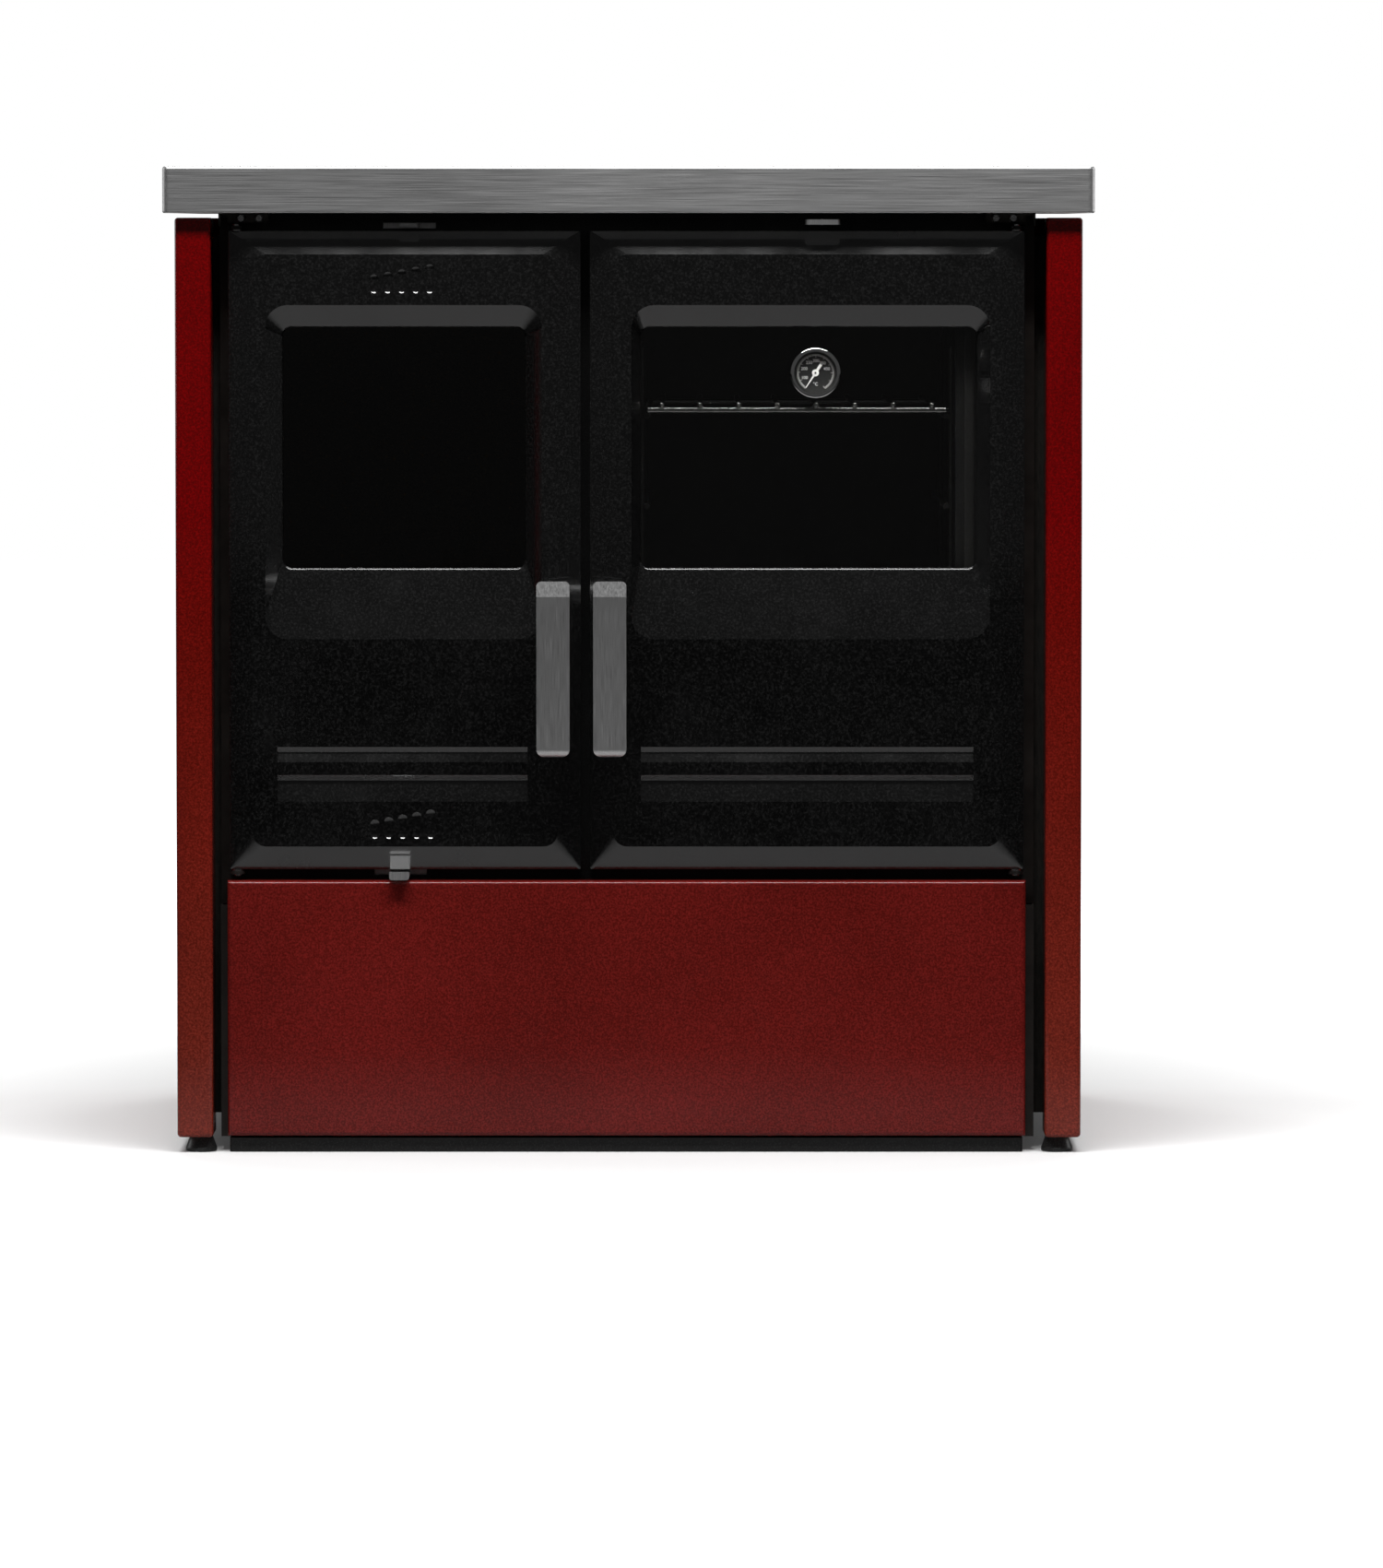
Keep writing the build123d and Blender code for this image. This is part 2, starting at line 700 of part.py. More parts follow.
def hinge_pin(x, door_edge, up):
    near = door_edge + up * hinge_gap
    outer = near + up * (hinge_plate + 1.5)
    tip = door_edge - up * pin_reach
    pin = bar((x, hinge_y, outer), (x, hinge_y, tip), pin_radius)
    collar = ring((x, hinge_y, near), (x, hinge_y, door_edge + up * touch),
                  pin_collar, pin_radius - 0.5)
    return pin + collar


hinges = [(x, *edge) for x in (fire_hinge_x, oven_hinge_x)
          for edge in ((door_top, 1), (door_bottom, -1))]
save("hinge_brackets", *[hinge_bracket(*hinge) for hinge in hinges])
save("hinge_pins", *[hinge_pin(*hinge) for hinge in hinges])

spindle_z = door_top - 314.0
spindle_radius = 5.0
cam_front = door_face + 22.5
cam_thick = 4.0
cam_length = 40.0
cam_hub = 7.0
stud_head = 3.0
stud_inset = 8.5             # from a door's free edge to its catch stud
stud_z = spindle_z - cam_length + 4.0
fire_stud_x = fire_door_right - stud_inset
oven_stud_x = oven_door_left + stud_inset


def catch_stud(x):
    shank = bar((x, frame_front, stud_z), (x, cam_front - 3.0, stud_z), stud_radius - 0.5)
    head = bar((x, cam_front - 1.0, stud_z), (x, cam_front - 4.5, stud_z), stud_head)
    return shank + fillet(head.edges().sort_by(Axis.Y)[0], 1.0)


save("catch_studs", catch_stud(fire_stud_x), catch_stud(oven_stud_x))

# ---------------------------------------------------------------- air slides
shutter_gap = 0.3
shutter = 2.0
shutter_front = frame_back + shutter_gap
shutter_margin = 6.0
shutter_reach = (air_slots - 1) / 2 * air_pitch + air_slot / 2 + shutter_margin + air_travel
guide_lip = 3.0
tab_reach = 3.0              # how far an air tab stands in front of the door or the drawer
tab_lip_height = 7.0
tab_rounding = 2.5
upper_tab_front = door_face - 6.0
lower_tab_front = drawer_face - 9.0
upper_shutter_z = (upper_slot_z[0] - shutter_margin, panel_top - guide_lip)
lower_shutter_z = (mid_floor_top + 2.5, lower_slot_z[1] + 11.5)


def air_shutter(x, shutter_z, slot_z):
    plate = block(x - shutter_reach, x + shutter_reach, shutter_front, shutter_front + shutter,
                  *shutter_z)
    for hole in air_openings(x, slot_z, shutter_front, shutter_front + shutter, air_slot / 2):
        plate -= hole
    return plate


def upper_air_slider():
    half = upper_tab_width / 2
    tab = block(upper_tab_x - half, upper_tab_x + half, upper_tab_front, shutter_front,
                upper_tab_bottom, upper_tab_bottom + tab_thick + 0.4)
    tab = fillet(tab.edges().filter_by(Axis.Z).sort_by(Axis.Y)[:2], tab_rounding)
    return tab + air_shutter(upper_tab_x, upper_shutter_z, upper_slot_z)


def lower_air_slider():
    half = lower_tab_width / 2
    z0 = lower_tab_bottom
    tab = block(lower_tab_x - half, lower_tab_x + half, lower_tab_front, shutter_front,
                z0, z0 + tab_thick)
    lip = block(lower_tab_x - half, lower_tab_x + half, lower_tab_front,
                lower_tab_front + tab_thick, z0 - 2.3, z0 - 2.3 + tab_lip_height)
    lip = fillet(lip.edges().filter_by(Axis.Y).group_by(Axis.Z)[0], tab_rounding)
    return tab + lip + air_shutter(lower_tab_x, lower_shutter_z, lower_slot_z)


def shutter_guide(x, z_seat, up, z_far):
    """An angle behind the frame that a shutter slides in. up points from seat to shutter."""
    half = shutter_reach + air_travel + 4.0
    foot = block(x - half, x + half, frame_back, shutter_front + shutter + shutter_gap + 1.4,
                 z_far, z_seat)
    lip = block(x - half, x + half, shutter_front + shutter + shutter_gap,
                shutter_front + shutter + shutter_gap + 1.4, z_far, z_seat + up * guide_lip)
    return foot + lip


save("upper_air_slider", upper_air_slider())
save("lower_air_slider", lower_air_slider())
save("air_slide_guides",
     shutter_guide(upper_tab_x, upper_shutter_z[0] - touch, 1, upper_shutter_z[0] - 5.0),
     shutter_guide(upper_tab_x, upper_shutter_z[1] + touch, -1, panel_top),
     shutter_guide(lower_tab_x, lower_shutter_z[0] - touch, 1, mid_floor_top),
     shutter_guide(lower_tab_x, lower_shutter_z[1] + touch, -1, lower_shutter_z[1] + 3.5))

# ---------------------------------------------------------------- damper
damper_travel = 60.0
damper_blade = 2.0
damper_lap = 6.0             # how far the blade laps over the throat
damper_pull_front = door_face - 12.0
damper_pull_thick = 4.5


def damper_pull():
    """A pull plate, its rod, and the blade that covers the flue throat when pushed home."""
    half = damper_width / 2
    plate = block(damper_x - half, damper_x + half, damper_pull_front, frame_front - 2.0,
                  damper_z - damper_pull_thick / 2, damper_z + damper_pull_thick / 2)
    plate = fillet(plate.edges().filter_by(Axis.Z).sort_by(Axis.Y)[:2], 4.0)
    blade_back = flue_box_front - touch
    rod = bar((damper_x, frame_front - 3.0, damper_z), (damper_x, blade_back, damper_z),
              damper_rod)
    half = throat_width / 2 + damper_lap
    blade = block(flue_x - half, flue_x + half, blade_back - damper_blade, blade_back,
                  throat_bottom - damper_lap, panel_top - 1.0)
    return plate + rod + blade


save("damper_pull", damper_pull())

# ---------------------------------------------------------------- insulation
batt_gap = 0.2


def insulation():
    y0, y1 = post_front + post_depth + 1.0, body_back - rear_post_depth - 1.0
    z0, z1 = plinth_height + 18.0, panel_top - 16.0
    left = block(-panel_right + sheet + batt_gap, body_left - batt_gap, y0, y1, z0, z1)
    right = block(panel_right - sheet - batt_gap, body_right + batt_gap, y0, y1, z0, z1)
    between = block(fire_right + fire_side + brick + casing_plate + batt_gap,
                    oven_left - sheet - batt_gap, frame_back + 6.0, oven_back,
                    mid_floor_top, opening_top)
    under = block(oven_left - sheet, body_right - sheet - batt_gap, frame_back + 1.0, oven_back,
                  mid_floor_top, oven_bottom - sheet)
    beside = block(oven_right + sheet + batt_gap, body_right - sheet - batt_gap,
                   frame_back + 1.0, oven_back, oven_bottom - sheet, opening_top)
    return left, right, between, under, beside


save("insulation", *insulation())

# ---------------------------------------------------------------- log drawer
drawer_skin = 18.0           # depth of the drawer's front pan
drawer_rounding = 3.5
drawer_left = frame_left - 0.4
drawer_right = frame_right + 0.3
drawer_travel = 380.0
drawer_box_left = frame_left + 21.0
drawer_box_right = frame_right - 21.0
drawer_box_back = frame_back + 455.0
drawer_box_bottom = plinth_height + 8.0
drawer_box_height = 130.0
drawer_sheet = 1.5
runner_z = plinth_height + 60.0
runner_height = 32.0
runner_lap = 6.0             # depth of the outer runner's flanges over the inner bar
runner_front = frame_back + 5.0
runner_side_gap = 1.0        # between an inner runner and the columns that it passes


def drawer_front():
    pan = block(drawer_left, drawer_right, drawer_face, drawer_face + drawer_skin,
                drawer_bottom, drawer_top)
    pan = fillet(pan.edges().group_by(Axis.Y)[0], drawer_rounding)
    hollow = block(drawer_left + sheet, drawer_right - sheet, drawer_face + sheet,
                   drawer_face + drawer_skin, drawer_bottom + sheet, drawer_top - sheet)
    hollow = fillet(hollow.edges().group_by(Axis.Y)[0], drawer_rounding - sheet)
    return pan - hollow


def drawer_box():
    y0 = drawer_face + drawer_skin
    z0, z1 = drawer_box_bottom, drawer_box_bottom + drawer_box_height
    box = block(drawer_box_left, drawer_box_right, y0, drawer_box_back, z0, z1)
    box -= block(drawer_box_left + drawer_sheet, drawer_box_right - drawer_sheet,
                 y0 + drawer_sheet, drawer_box_back - drawer_sheet, z0 + drawer_sheet, z1)
    flange = block(drawer_left + sheet + touch, drawer_right - sheet - touch,
                   y0 - drawer_sheet, y0, drawer_bottom + sheet + touch,
                   drawer_top - sheet - touch)
    return box + flange


def outer_runner(wall, inward, box_side):
    """A channel on the inner wall."""
    tip = box_side - inward * runner_lap
    y1 = drawer_box_back + 25.0
    channel = block(wall, tip, runner_front, y1, runner_z, runner_z + runner_height)
    return channel - block(wall + inward * sheet, tip, runner_front, y1, runner_z + sheet,
                           runner_z + runner_height - sheet)


def inner_runner(bay_side, inward, box_side):
    """A bar on the drawer's side that slides in the channel."""
    far = bay_side + inward * runner_side_gap
    z0 = runner_z + sheet + touch
    z1 = runner_z + runner_height - sheet - 2.0
    return block(far, box_side, drawer_face + drawer_skin + 5.0, drawer_box_back - 5.0, z0, z1)


save("drawer_front", drawer_front())
save("drawer_box", drawer_box())
save("drawer_runners", outer_runner(body_left + sheet, 1, drawer_box_left),
     outer_runner(body_right - sheet, -1, drawer_box_right))
save("drawer_slides", inner_runner(frame_left, 1, drawer_box_left),
     inner_runner(frame_right, -1, drawer_box_right))

# ---------------------------------------------------------------- doors
door_wall = 4.0
bevel = 20.0                 # width of the door's bevelled border
bevel_depth = 9.0
door_corner = 1.5
face_corner = 12.0
recess_depth = 14.0
recess_corner = 20.0
pane_corner = 8.0
recess_bottom = door_bottom + 199.0
recess_top = door_top - 63.5
pane_bottom = recess_bottom + 61.0     # the recess slopes in far more at its bottom
pane_top = recess_top - 19.0
pane_seat = 14.0             # rebate round the pane that carries the glass
glass_thick = 4.0
glass_lap = 10.0
seal_thick = 1.0
liner_sheet = 2.0
liner_back = door_back - 1.0
liner_front = liner_back - liner_sheet
rope_seal = 3.1
rope_width = 8.0
pin_boss = 14.0

# Pressed grooves across the door below its window, each (top, height, depth). The upper
# flank is steep and the lower one fades out.
grooves = ((door_bottom + 106.0, 13.0, 3.2), (door_bottom + 81.8, 23.0, 4.2))
groove_flank = 4.6           # height of the steep flank
groove_backing = 3.0         # extra wall behind the grooves
groove_rounding = 1.2
pane_lip = 2.6               # rounding of the edge round the glass

glass_front = door_face + recess_depth + door_wall + seal_thick
glass_back = glass_front + glass_thick


def door_body(x0, x1):
    """The bevelled outside of a door, before it is hollowed."""
    rim_y = door_face + bevel_depth
    slab = window_block(x0, x1, rim_y, door_back, door_bottom, door_top, door_corner)
    nose = frustum((x0 + bevel, x1 - bevel, door_bottom + bevel, door_top - bevel,
                    face_corner, door_face),
                   (x0, x1, door_bottom, door_top, door_corner, rim_y))
    return slab + nose


def door_hollow(x0, x1):
    """The inside of a door, open at its back."""
    w = door_wall
    rim_y = door_face + bevel_depth + w / 2
    slab = window_block(x0 + w, x1 - w, rim_y, door_back, door_bottom + w, door_top - w,
                        door_corner)
    nose = frustum((x0 + bevel + w / 2, x1 - bevel - w / 2, door_bottom + bevel + w / 2,
                    door_top - bevel - w / 2, face_corner, door_face + w),
                   (x0 + w, x1 - w, door_bottom + w, door_top - w, door_corner, rim_y))
    return slab + nose


def groove(x0, x1, top, height, depth):
    """A wedge to cut across the door: steep at its top, and fading out below."""
    plane = Plane(origin=(x0, 0, 0), x_dir=(0, 1, 0), z_dir=(1, 0, 0))
    outline = make_face(Polyline((door_face, top), (door_face + depth, top - groove_flank),
                                 (door_face, top - height), (door_face - 1, top - height),
                                 (door_face - 1, top), close=True))
    wedge = extrude(plane * outline, amount=x1 - x0)
    floor = wedge.edges().filter_by(Axis.X).sort_by(Axis.Y)[-1]
    return fillet(floor, groove_rounding)


def door_shell(x0, x1, recess_x, pane_x, groove_x, hinge_x, spindle_x):
    """A cast door: bevelled border, sloped window recess, grooves, hinge and spindle bosses."""
    recess = (recess_x[0], recess_x[1], recess_bottom, recess_top, recess_corner)
    pane = (pane_x[0], pane_x[1], pane_bottom, pane_top, pane_corner)
    floor_y = door_face + recess_depth
    funnel_wall = frustum(grown(recess, door_wall, door_face + 1.0),
                          grown(pane, pane_seat, floor_y + door_wall, pane_corner))
    funnel = frustum(grown(recess, 0, door_face), grown(pane, 0, floor_y))
    shell = door_body(x0, x1) - door_hollow(x0, x1) + funnel_wall - funnel
    shell -= window_block(*pane_x, floor_y - 1, floor_y + door_wall + 1, pane_bottom, pane_top,
                          pane_corner)
    lip = shell.edges().filter_by_position(Axis.Y, floor_y - 0.01, floor_y + 0.01)
    shell = fillet(lip, pane_lip)
    low, high = grooves[-1][0] - grooves[-1][1] - 4.0, grooves[0][0] + 4.0
    shell += block(groove_x[0] - 4.0, groove_x[1] + 4.0, door_face + door_wall - 0.5,
                   door_face + door_wall + groove_backing, low, high)
    for top, height, depth in grooves:
        shell -= groove(*groove_x, top, height, depth)
    for edge, up in ((door_top, 1), (door_bottom, -1)):
        far = edge - up * (pin_reach + 4.0)
        inset = hinge_x - pin_boss / 2, hinge_x + pin_boss / 2
        inner = (max(inset[0], x0 + 1.0), min(inset[1], x1 - 1.0))
        shell += block(*inner, hinge_y - 5.0, hinge_y + 6.5, edge - up * 2.0, far)
        shell -= bar((hinge_x, hinge_y, edge + up), (hinge_x, hinge_y, far + up * 2.0),
                     pin_radius + running)
    shell += bar((spindle_x, door_face + 1.0, spindle_z),
                 (spindle_x, cam_front - 2.0, spindle_z), spindle_radius + 4.0)
    return shell - bar((spindle_x, door_face - 1, spindle_z),
                       (spindle_x, cam_front, spindle_z), spindle_radius + running)


def door_liner(x0, x1, pane_x, stud_x):
    """The flat plate that closes a door's back, with its window and its catch slot."""
    gap = door_wall + touch
    liner = window_block(x0 + gap, x1 - gap, liner_front, liner_back, door_bottom + gap,
                         door_top - gap, door_corner)
    liner -= window_block(*pane_x, liner_front, liner_back, pane_bottom, pane_top, pane_corner)
    slot = stud_head + 2.5
    return liner - window_block(stud_x - slot, stud_x + slot, liner_front, liner_back,
                                stud_z - slot - 3, stud_z + slot + 3, slot - 0.5)


def glass_outline(pane_x, shrink=0.0):
    lap = glass_lap - shrink
    return pane_x[0] - lap, pane_x[1] + lap, pane_bottom - lap, pane_top + lap


def door_glass(pane_x):
    x0, x1, z0, z1 = glass_outline(pane_x)
    return window_block(x0, x1, glass_front, glass_back, z0, z1, pane_corner)


def glass_seal(pane_x):
    x0, x1, z0, z1 = glass_outline(pane_x, 1.0)
    tape = window_block(x0, x1, glass_front - seal_thick, glass_front, z0, z1, pane_corner)
    return tape - window_block(pane_x[0] - 2, pane_x[1] + 2, glass_front - seal_thick,
                               glass_front, pane_bottom - 2, pane_top + 2, pane_corner)


clip_height = 20.0
clip_plate = 2.0
clip_leg = 3.0


def glass_clips(pane_x):
    """Four angles that hold the glass against its seal."""
    x0, x1, z0, z1 = glass_outline(pane_x)
    clips = []
    for z in (z0 + 40.0, z1 - 60.0):
        for edge, outward in ((x0, -1), (x1, 1)):
            near, far = edge + outward * touch, edge + outward * (touch + clip_leg)
            leg = block(near, far, glass_front - seal_thick, glass_back + clip_plate,
                        z, z + clip_height)
            plate = block(edge - outward * 7.0, far, glass_back, glass_back + clip_plate,
                          z, z + clip_height)
            clips.append(leg + plate)
    return clips


def door_seal(x0, x1, z0, z1):
    """The flat rope seal that meets the frame round an opening."""
    clearance = 8.0
    outer = window_block(x0 - clearance - rope_width, x1 + clearance + rope_width, liner_back,
                         liner_back + rope_seal, z0, z1, 14.0)
    return outer - window_block(x0 - clearance, x1 + clearance, liner_back,
                                liner_back + rope_seal, z0 + rope_width, z1 - rope_width, 6.0)


symbol_width = 8.2           # pressed air symbols on the fire door
symbol_pitch = 12.0
symbol_depth = 1.6
symbol_bases = (31.0, door_height - 49.5)   # heights above the door's lower edge
symbol_first = 8.2           # length of the shortest bar between its round ends
symbol_growth = 2.2
symbol_x = -194.9


def air_symbols():
    """Two rows of rising rounded bars to press into the fire door, one near each air slide."""
    half = symbol_width / 2
    ball = (half * half + symbol_depth * symbol_depth) / (2 * symbol_depth)
    y = door_face + symbol_depth - ball
    bars = []
    for base in symbol_bases:
        for i in range(air_slots):
            x = symbol_x + (i - (air_slots - 1) / 2) * symbol_pitch
            z0 = door_bottom + base
            z1 = z0 + symbol_first + i * symbol_growth
            bars.append(bar((x, y, z0), (x, y, z1), ball) + Pos(x, y, z0) * Sphere(ball)
                        + Pos(x, y, z1) * Sphere(ball))
    return bars


fire_pane = (fire_door_left + 46.5, fire_door_right - 47.8)
fire_recess = (fire_door_left + 31.5, fire_door_right - 33.2)
fire_groove = (fire_door_left + 41.5, fire_door_right - 45.8)
fire_spindle_x = fire_door_right - 23.3
oven_pane = (oven_door_left + 43.6, oven_door_right - 41.2)
oven_recess = (oven_door_left + 35.7, oven_door_right - 29.6)
oven_groove = (oven_door_left + 43.9, oven_door_right - 43.6)
oven_spindle_x = oven_door_left + 17.4

fire_shell = door_shell(fire_door_left, fire_door_right, fire_recess, fire_pane, fire_groove,
                        fire_hinge_x, fire_spindle_x)
for symbol in air_symbols():
    fire_shell -= symbol
save("fire_door_shell", fire_shell)
save("fire_door_liner", door_liner(fire_door_left, fire_door_right, fire_pane, fire_stud_x))
save("fire_door_glass", door_glass(fire_pane))
save("fire_glass_seal", glass_seal(fire_pane))
save("fire_glass_clips", *glass_clips(fire_pane))
save("fire_door_seal", door_seal(fire_left, fire_right, fire_bottom - 14.0, opening_top + 12.0))
save("oven_door_shell", door_shell(oven_door_left, oven_door_right, oven_recess, oven_pane,
                                   oven_groove, oven_hinge_x, oven_spindle_x))
save("oven_door_liner", door_liner(oven_door_left, oven_door_right, oven_pane, oven_stud_x))
save("oven_glass_seal", glass_seal(oven_pane))
save("oven_glass_clips", *glass_clips(oven_pane))
save("oven_door_seal", door_seal(oven_left, oven_right, oven_bottom - 14.0, opening_top + 12.0))

# ---------------------------------------------------------------- door handles
handle_front = -(rim_depth + handle_reach) / 2
handle_width = 28.4
handle_thick = 4.0
handle_above = 14.0          # plate above the spindle
handle_below = 136.7         # plate below the spindle
handle_bend = 13.0           # length of the bent top
handle_lean = 2.5            # how far the top leans back
handle_curl = 7.0            # radius of the lip curled back at the lower end
handle_top_corner = 4.0
handle_low_corner = 7.0
handle_boss = 8.0


def handle_plate(x):
    """A bent steel plate: the top leans back, the lower end curls back."""
    top, low = spindle_z + handle_above, spindle_z - handle_below
    front, back = handle_front, handle_front + handle_thick
    bend_z = top - handle_bend
    turn = cos(radians(45))
    inner_curl = handle_curl - handle_thick
    path = Plane(origin=(x - handle_width / 2, 0, 0), x_dir=(0, 1, 0), z_dir=(1, 0, 0))
    with BuildLine() as side:
        Polyline((back + handle_lean, top), (front + handle_lean, top), (front, bend_z),
                 (front, low + handle_curl))
        ThreePointArc((front, low + handle_curl),
                      (front + handle_curl * (1 - turn), low + handle_curl * (1 - turn)),
                      (front + handle_curl, low))
        Line((front + handle_curl, low), (front + handle_curl, low + handle_thick))
        ThreePointArc((front + handle_curl, low + handle_thick),
                      (back + inner_curl * (1 - turn), low + handle_curl - inner_curl * turn),
                      (back, low + handle_curl))
        Polyline((back, low + handle_curl), (back, bend_z), (back + handle_lean, top))
    plate = extrude(path * make_face(side.line), amount=handle_width)
    corners = plate.edges().filter_by(Axis.X, reverse=True)
    upper = corners.filter_by_position(Axis.Z, top - 0.01, top + 0.01)
    lower = corners.filter_by_position(Axis.Z, low - 0.01, low + handle_thick + 0.01)
    upper = [edge for edge in upper if edge.length > handle_thick - 0.5]
    lower = [edge for edge in lower if abs(edge.length - handle_thick) < 0.01]
    plate = fillet(upper, handle_top_corner)
    return plate, lower


def door_handle(x):
    plate, _ = handle_plate(x)
    low = spindle_z - handle_below
    trim = window_block(x - handle_width / 2, x + handle_width / 2, handle_front - 1,
                        handle_front + 20, low, spindle_z + handle_above + 10,
                        handle_low_corner)
    plate = plate & trim
    boss = bar((x, handle_front + handle_thick - 1, spindle_z), (x, door_face - 0.5, spindle_z),
               handle_boss)
    bore = bar((x, handle_front + handle_thick, spindle_z), (x, door_face, spindle_z),
               spindle_radius)
    return plate + boss - bore


def latch_cam(x, toward_stud, nose_x):
    """A spindle with its cam arm hanging down beside the catch stud."""
    back = cam_front + cam_thick
    spindle = bar((x, handle_front + handle_thick, spindle_z), (x, cam_front + 1, spindle_z),
                  spindle_radius)
    hub = bar((x, cam_front, spindle_z), (x, back, spindle_z), cam_hub)
    half = stud_head + 0.5
    low = spindle_z - cam_length
    arm = block(x - half, x + half, cam_front, back, low, spindle_z)
    arm = fillet(arm.edges().filter_by(Axis.Y).group_by(Axis.Z)[0], 2.0)
    nose = block(x, nose_x, cam_front, back, low + 2.0, low + 8.0)
    nut = extrude(front_plane(x, back, spindle_z) * RegularPolygon(4.5, 6), amount=-1.8)
    return spindle + hub + arm + nose + nut


nose_gap = 1.0               # from the cam's nose to the stud's head
save("fire_handle", door_handle(fire_spindle_x))
save("fire_latch_cam", latch_cam(fire_spindle_x, 1, fire_stud_x - stud_head - nose_gap))
save("oven_handle", door_handle(oven_spindle_x))
save("oven_latch_cam", latch_cam(oven_spindle_x, -1, oven_stud_x + stud_head + nose_gap))

# ---------------------------------------------------------------- thermometer
gauge_x = oven_door_left + 194.3
gauge_z = door_top - 121.9
gauge_radius = 21.8
gauge_lip = 3.4              # width of the bezel
gauge_wall = 2.0
gauge_floor = glass_front - touch
gauge_front = gauge_floor - 9.5
gauge_stem = 4.0
gauge_stem_gap = 0.5
dial_thick = 0.8
dial_front = gauge_floor - gauge_wall - dial_thick
needle_thick = 0.8
needle_front = dial_front - 2.2
needle_hub = 3.0
needle_pin = 0.8
needle_reach = 15.5
needle_tail = 8.6
needle_start = 33.0          # degrees clockwise from straight down, seen from the front


def oven_glass():
    hole = bar((gauge_x, glass_front - 1, gauge_z), (gauge_x, glass_back + 1, gauge_z),
               gauge_stem + gauge_stem_gap)
    return door_glass(oven_pane) - hole


def thermometer_case():
    """A round cup with a rolled bezel and the pin that the needle turns on."""
    centre = (gauge_x, gauge_z)
    cup = bar((centre[0], gauge_front, centre[1]), (centre[0], gauge_floor, centre[1]),
              gauge_radius)
    cup = fillet(cup.edges().sort_by(Axis.Y)[0], 1.4)
    cup -= bar((centre[0], gauge_front + 1.5, centre[1]),
               (centre[0], gauge_floor - gauge_wall, centre[1]), gauge_radius - gauge_wall)
    cup -= bar((centre[0], gauge_front - 1, centre[1]),
               (centre[0], gauge_front + 2, centre[1]), gauge_radius - gauge_lip)
    return cup + bar((centre[0], gauge_floor - 1, centre[1]),
                     (centre[0], needle_front - 0.4, centre[1]), needle_pin)


def thermometer_dial():
    disc = bar((gauge_x, dial_front, gauge_z), (gauge_x, dial_front + dial_thick, gauge_z),
               gauge_radius - gauge_wall - touch)
    return disc - bar((gauge_x, dial_front - 1, gauge_z), (gauge_x, dial_front + 2, gauge_z),
                      needle_pin + running)


def thermometer_lens():
    y = gauge_front + 1.6
    return bar((gauge_x, y, gauge_z), (gauge_x, y + 1.0, gauge_z),
               gauge_radius - gauge_wall - touch)


def thermometer_probe():
    """The stem through the glass, with the nut that holds it."""
    stem = bar((gauge_x, gauge_floor, gauge_z), (gauge_x, gauge_floor + 40.0, gauge_z),
               gauge_stem)
    stem = fillet(stem.edges().sort_by(Axis.Y)[-1], 2.0)
    nut = extrude(front_plane(gauge_x, glass_back + touch, gauge_z) * RegularPolygon(9.0, 6),
                  amount=-5.0)
    return stem + nut


def thermometer_needle():
    """A pointer with a heavy tail, turned to the start of the scale."""
    turn = radians(needle_start)
    plane = front_plane(gauge_x, needle_front, gauge_z)
    blade = make_face(Polyline((-1.3, needle_tail), (-0.9, 0), (-0.25, -needle_reach),
                               (0.25, -needle_reach), (0.9, 0), (1.3, needle_tail), close=True))
    blade = extrude(plane * Rot(0, 0, -needle_start) * blade, amount=-needle_thick)
    hub = bar((gauge_x, needle_front, gauge_z), (gauge_x, needle_front + 1.6, gauge_z),
              needle_hub)
    return blade + hub - bar((gauge_x, needle_front - 1, gauge_z),
                             (gauge_x, needle_front + 3, gauge_z), needle_pin + running)


save("oven_door_glass", oven_glass())
save("thermometer_case", thermometer_case())
save("thermometer_dial", thermometer_dial())
save("thermometer_lens", thermometer_lens())
save("thermometer_probe", thermometer_probe())
save("thermometer_needle", thermometer_needle())
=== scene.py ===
# %% [markdown]
# # A wood-burning range cooker
# The cooker stands on a pale floor: red enamelled side panels, two black enamelled cast doors
# with glass, a red log drawer, and a brushed steel rim round the hob. Its real shapes come from
# CAD as a fixed frame of named parts. This script adds what CAD doesn't have: enamel, brushed
# steel, cast iron, glass, braided rope seals, a printed dial, screws and the light.

# %% Load the frame
import json
from math import radians, sin, cos, pi

import bpy
import bmesh
from mathutils import Vector, Matrix, Euler


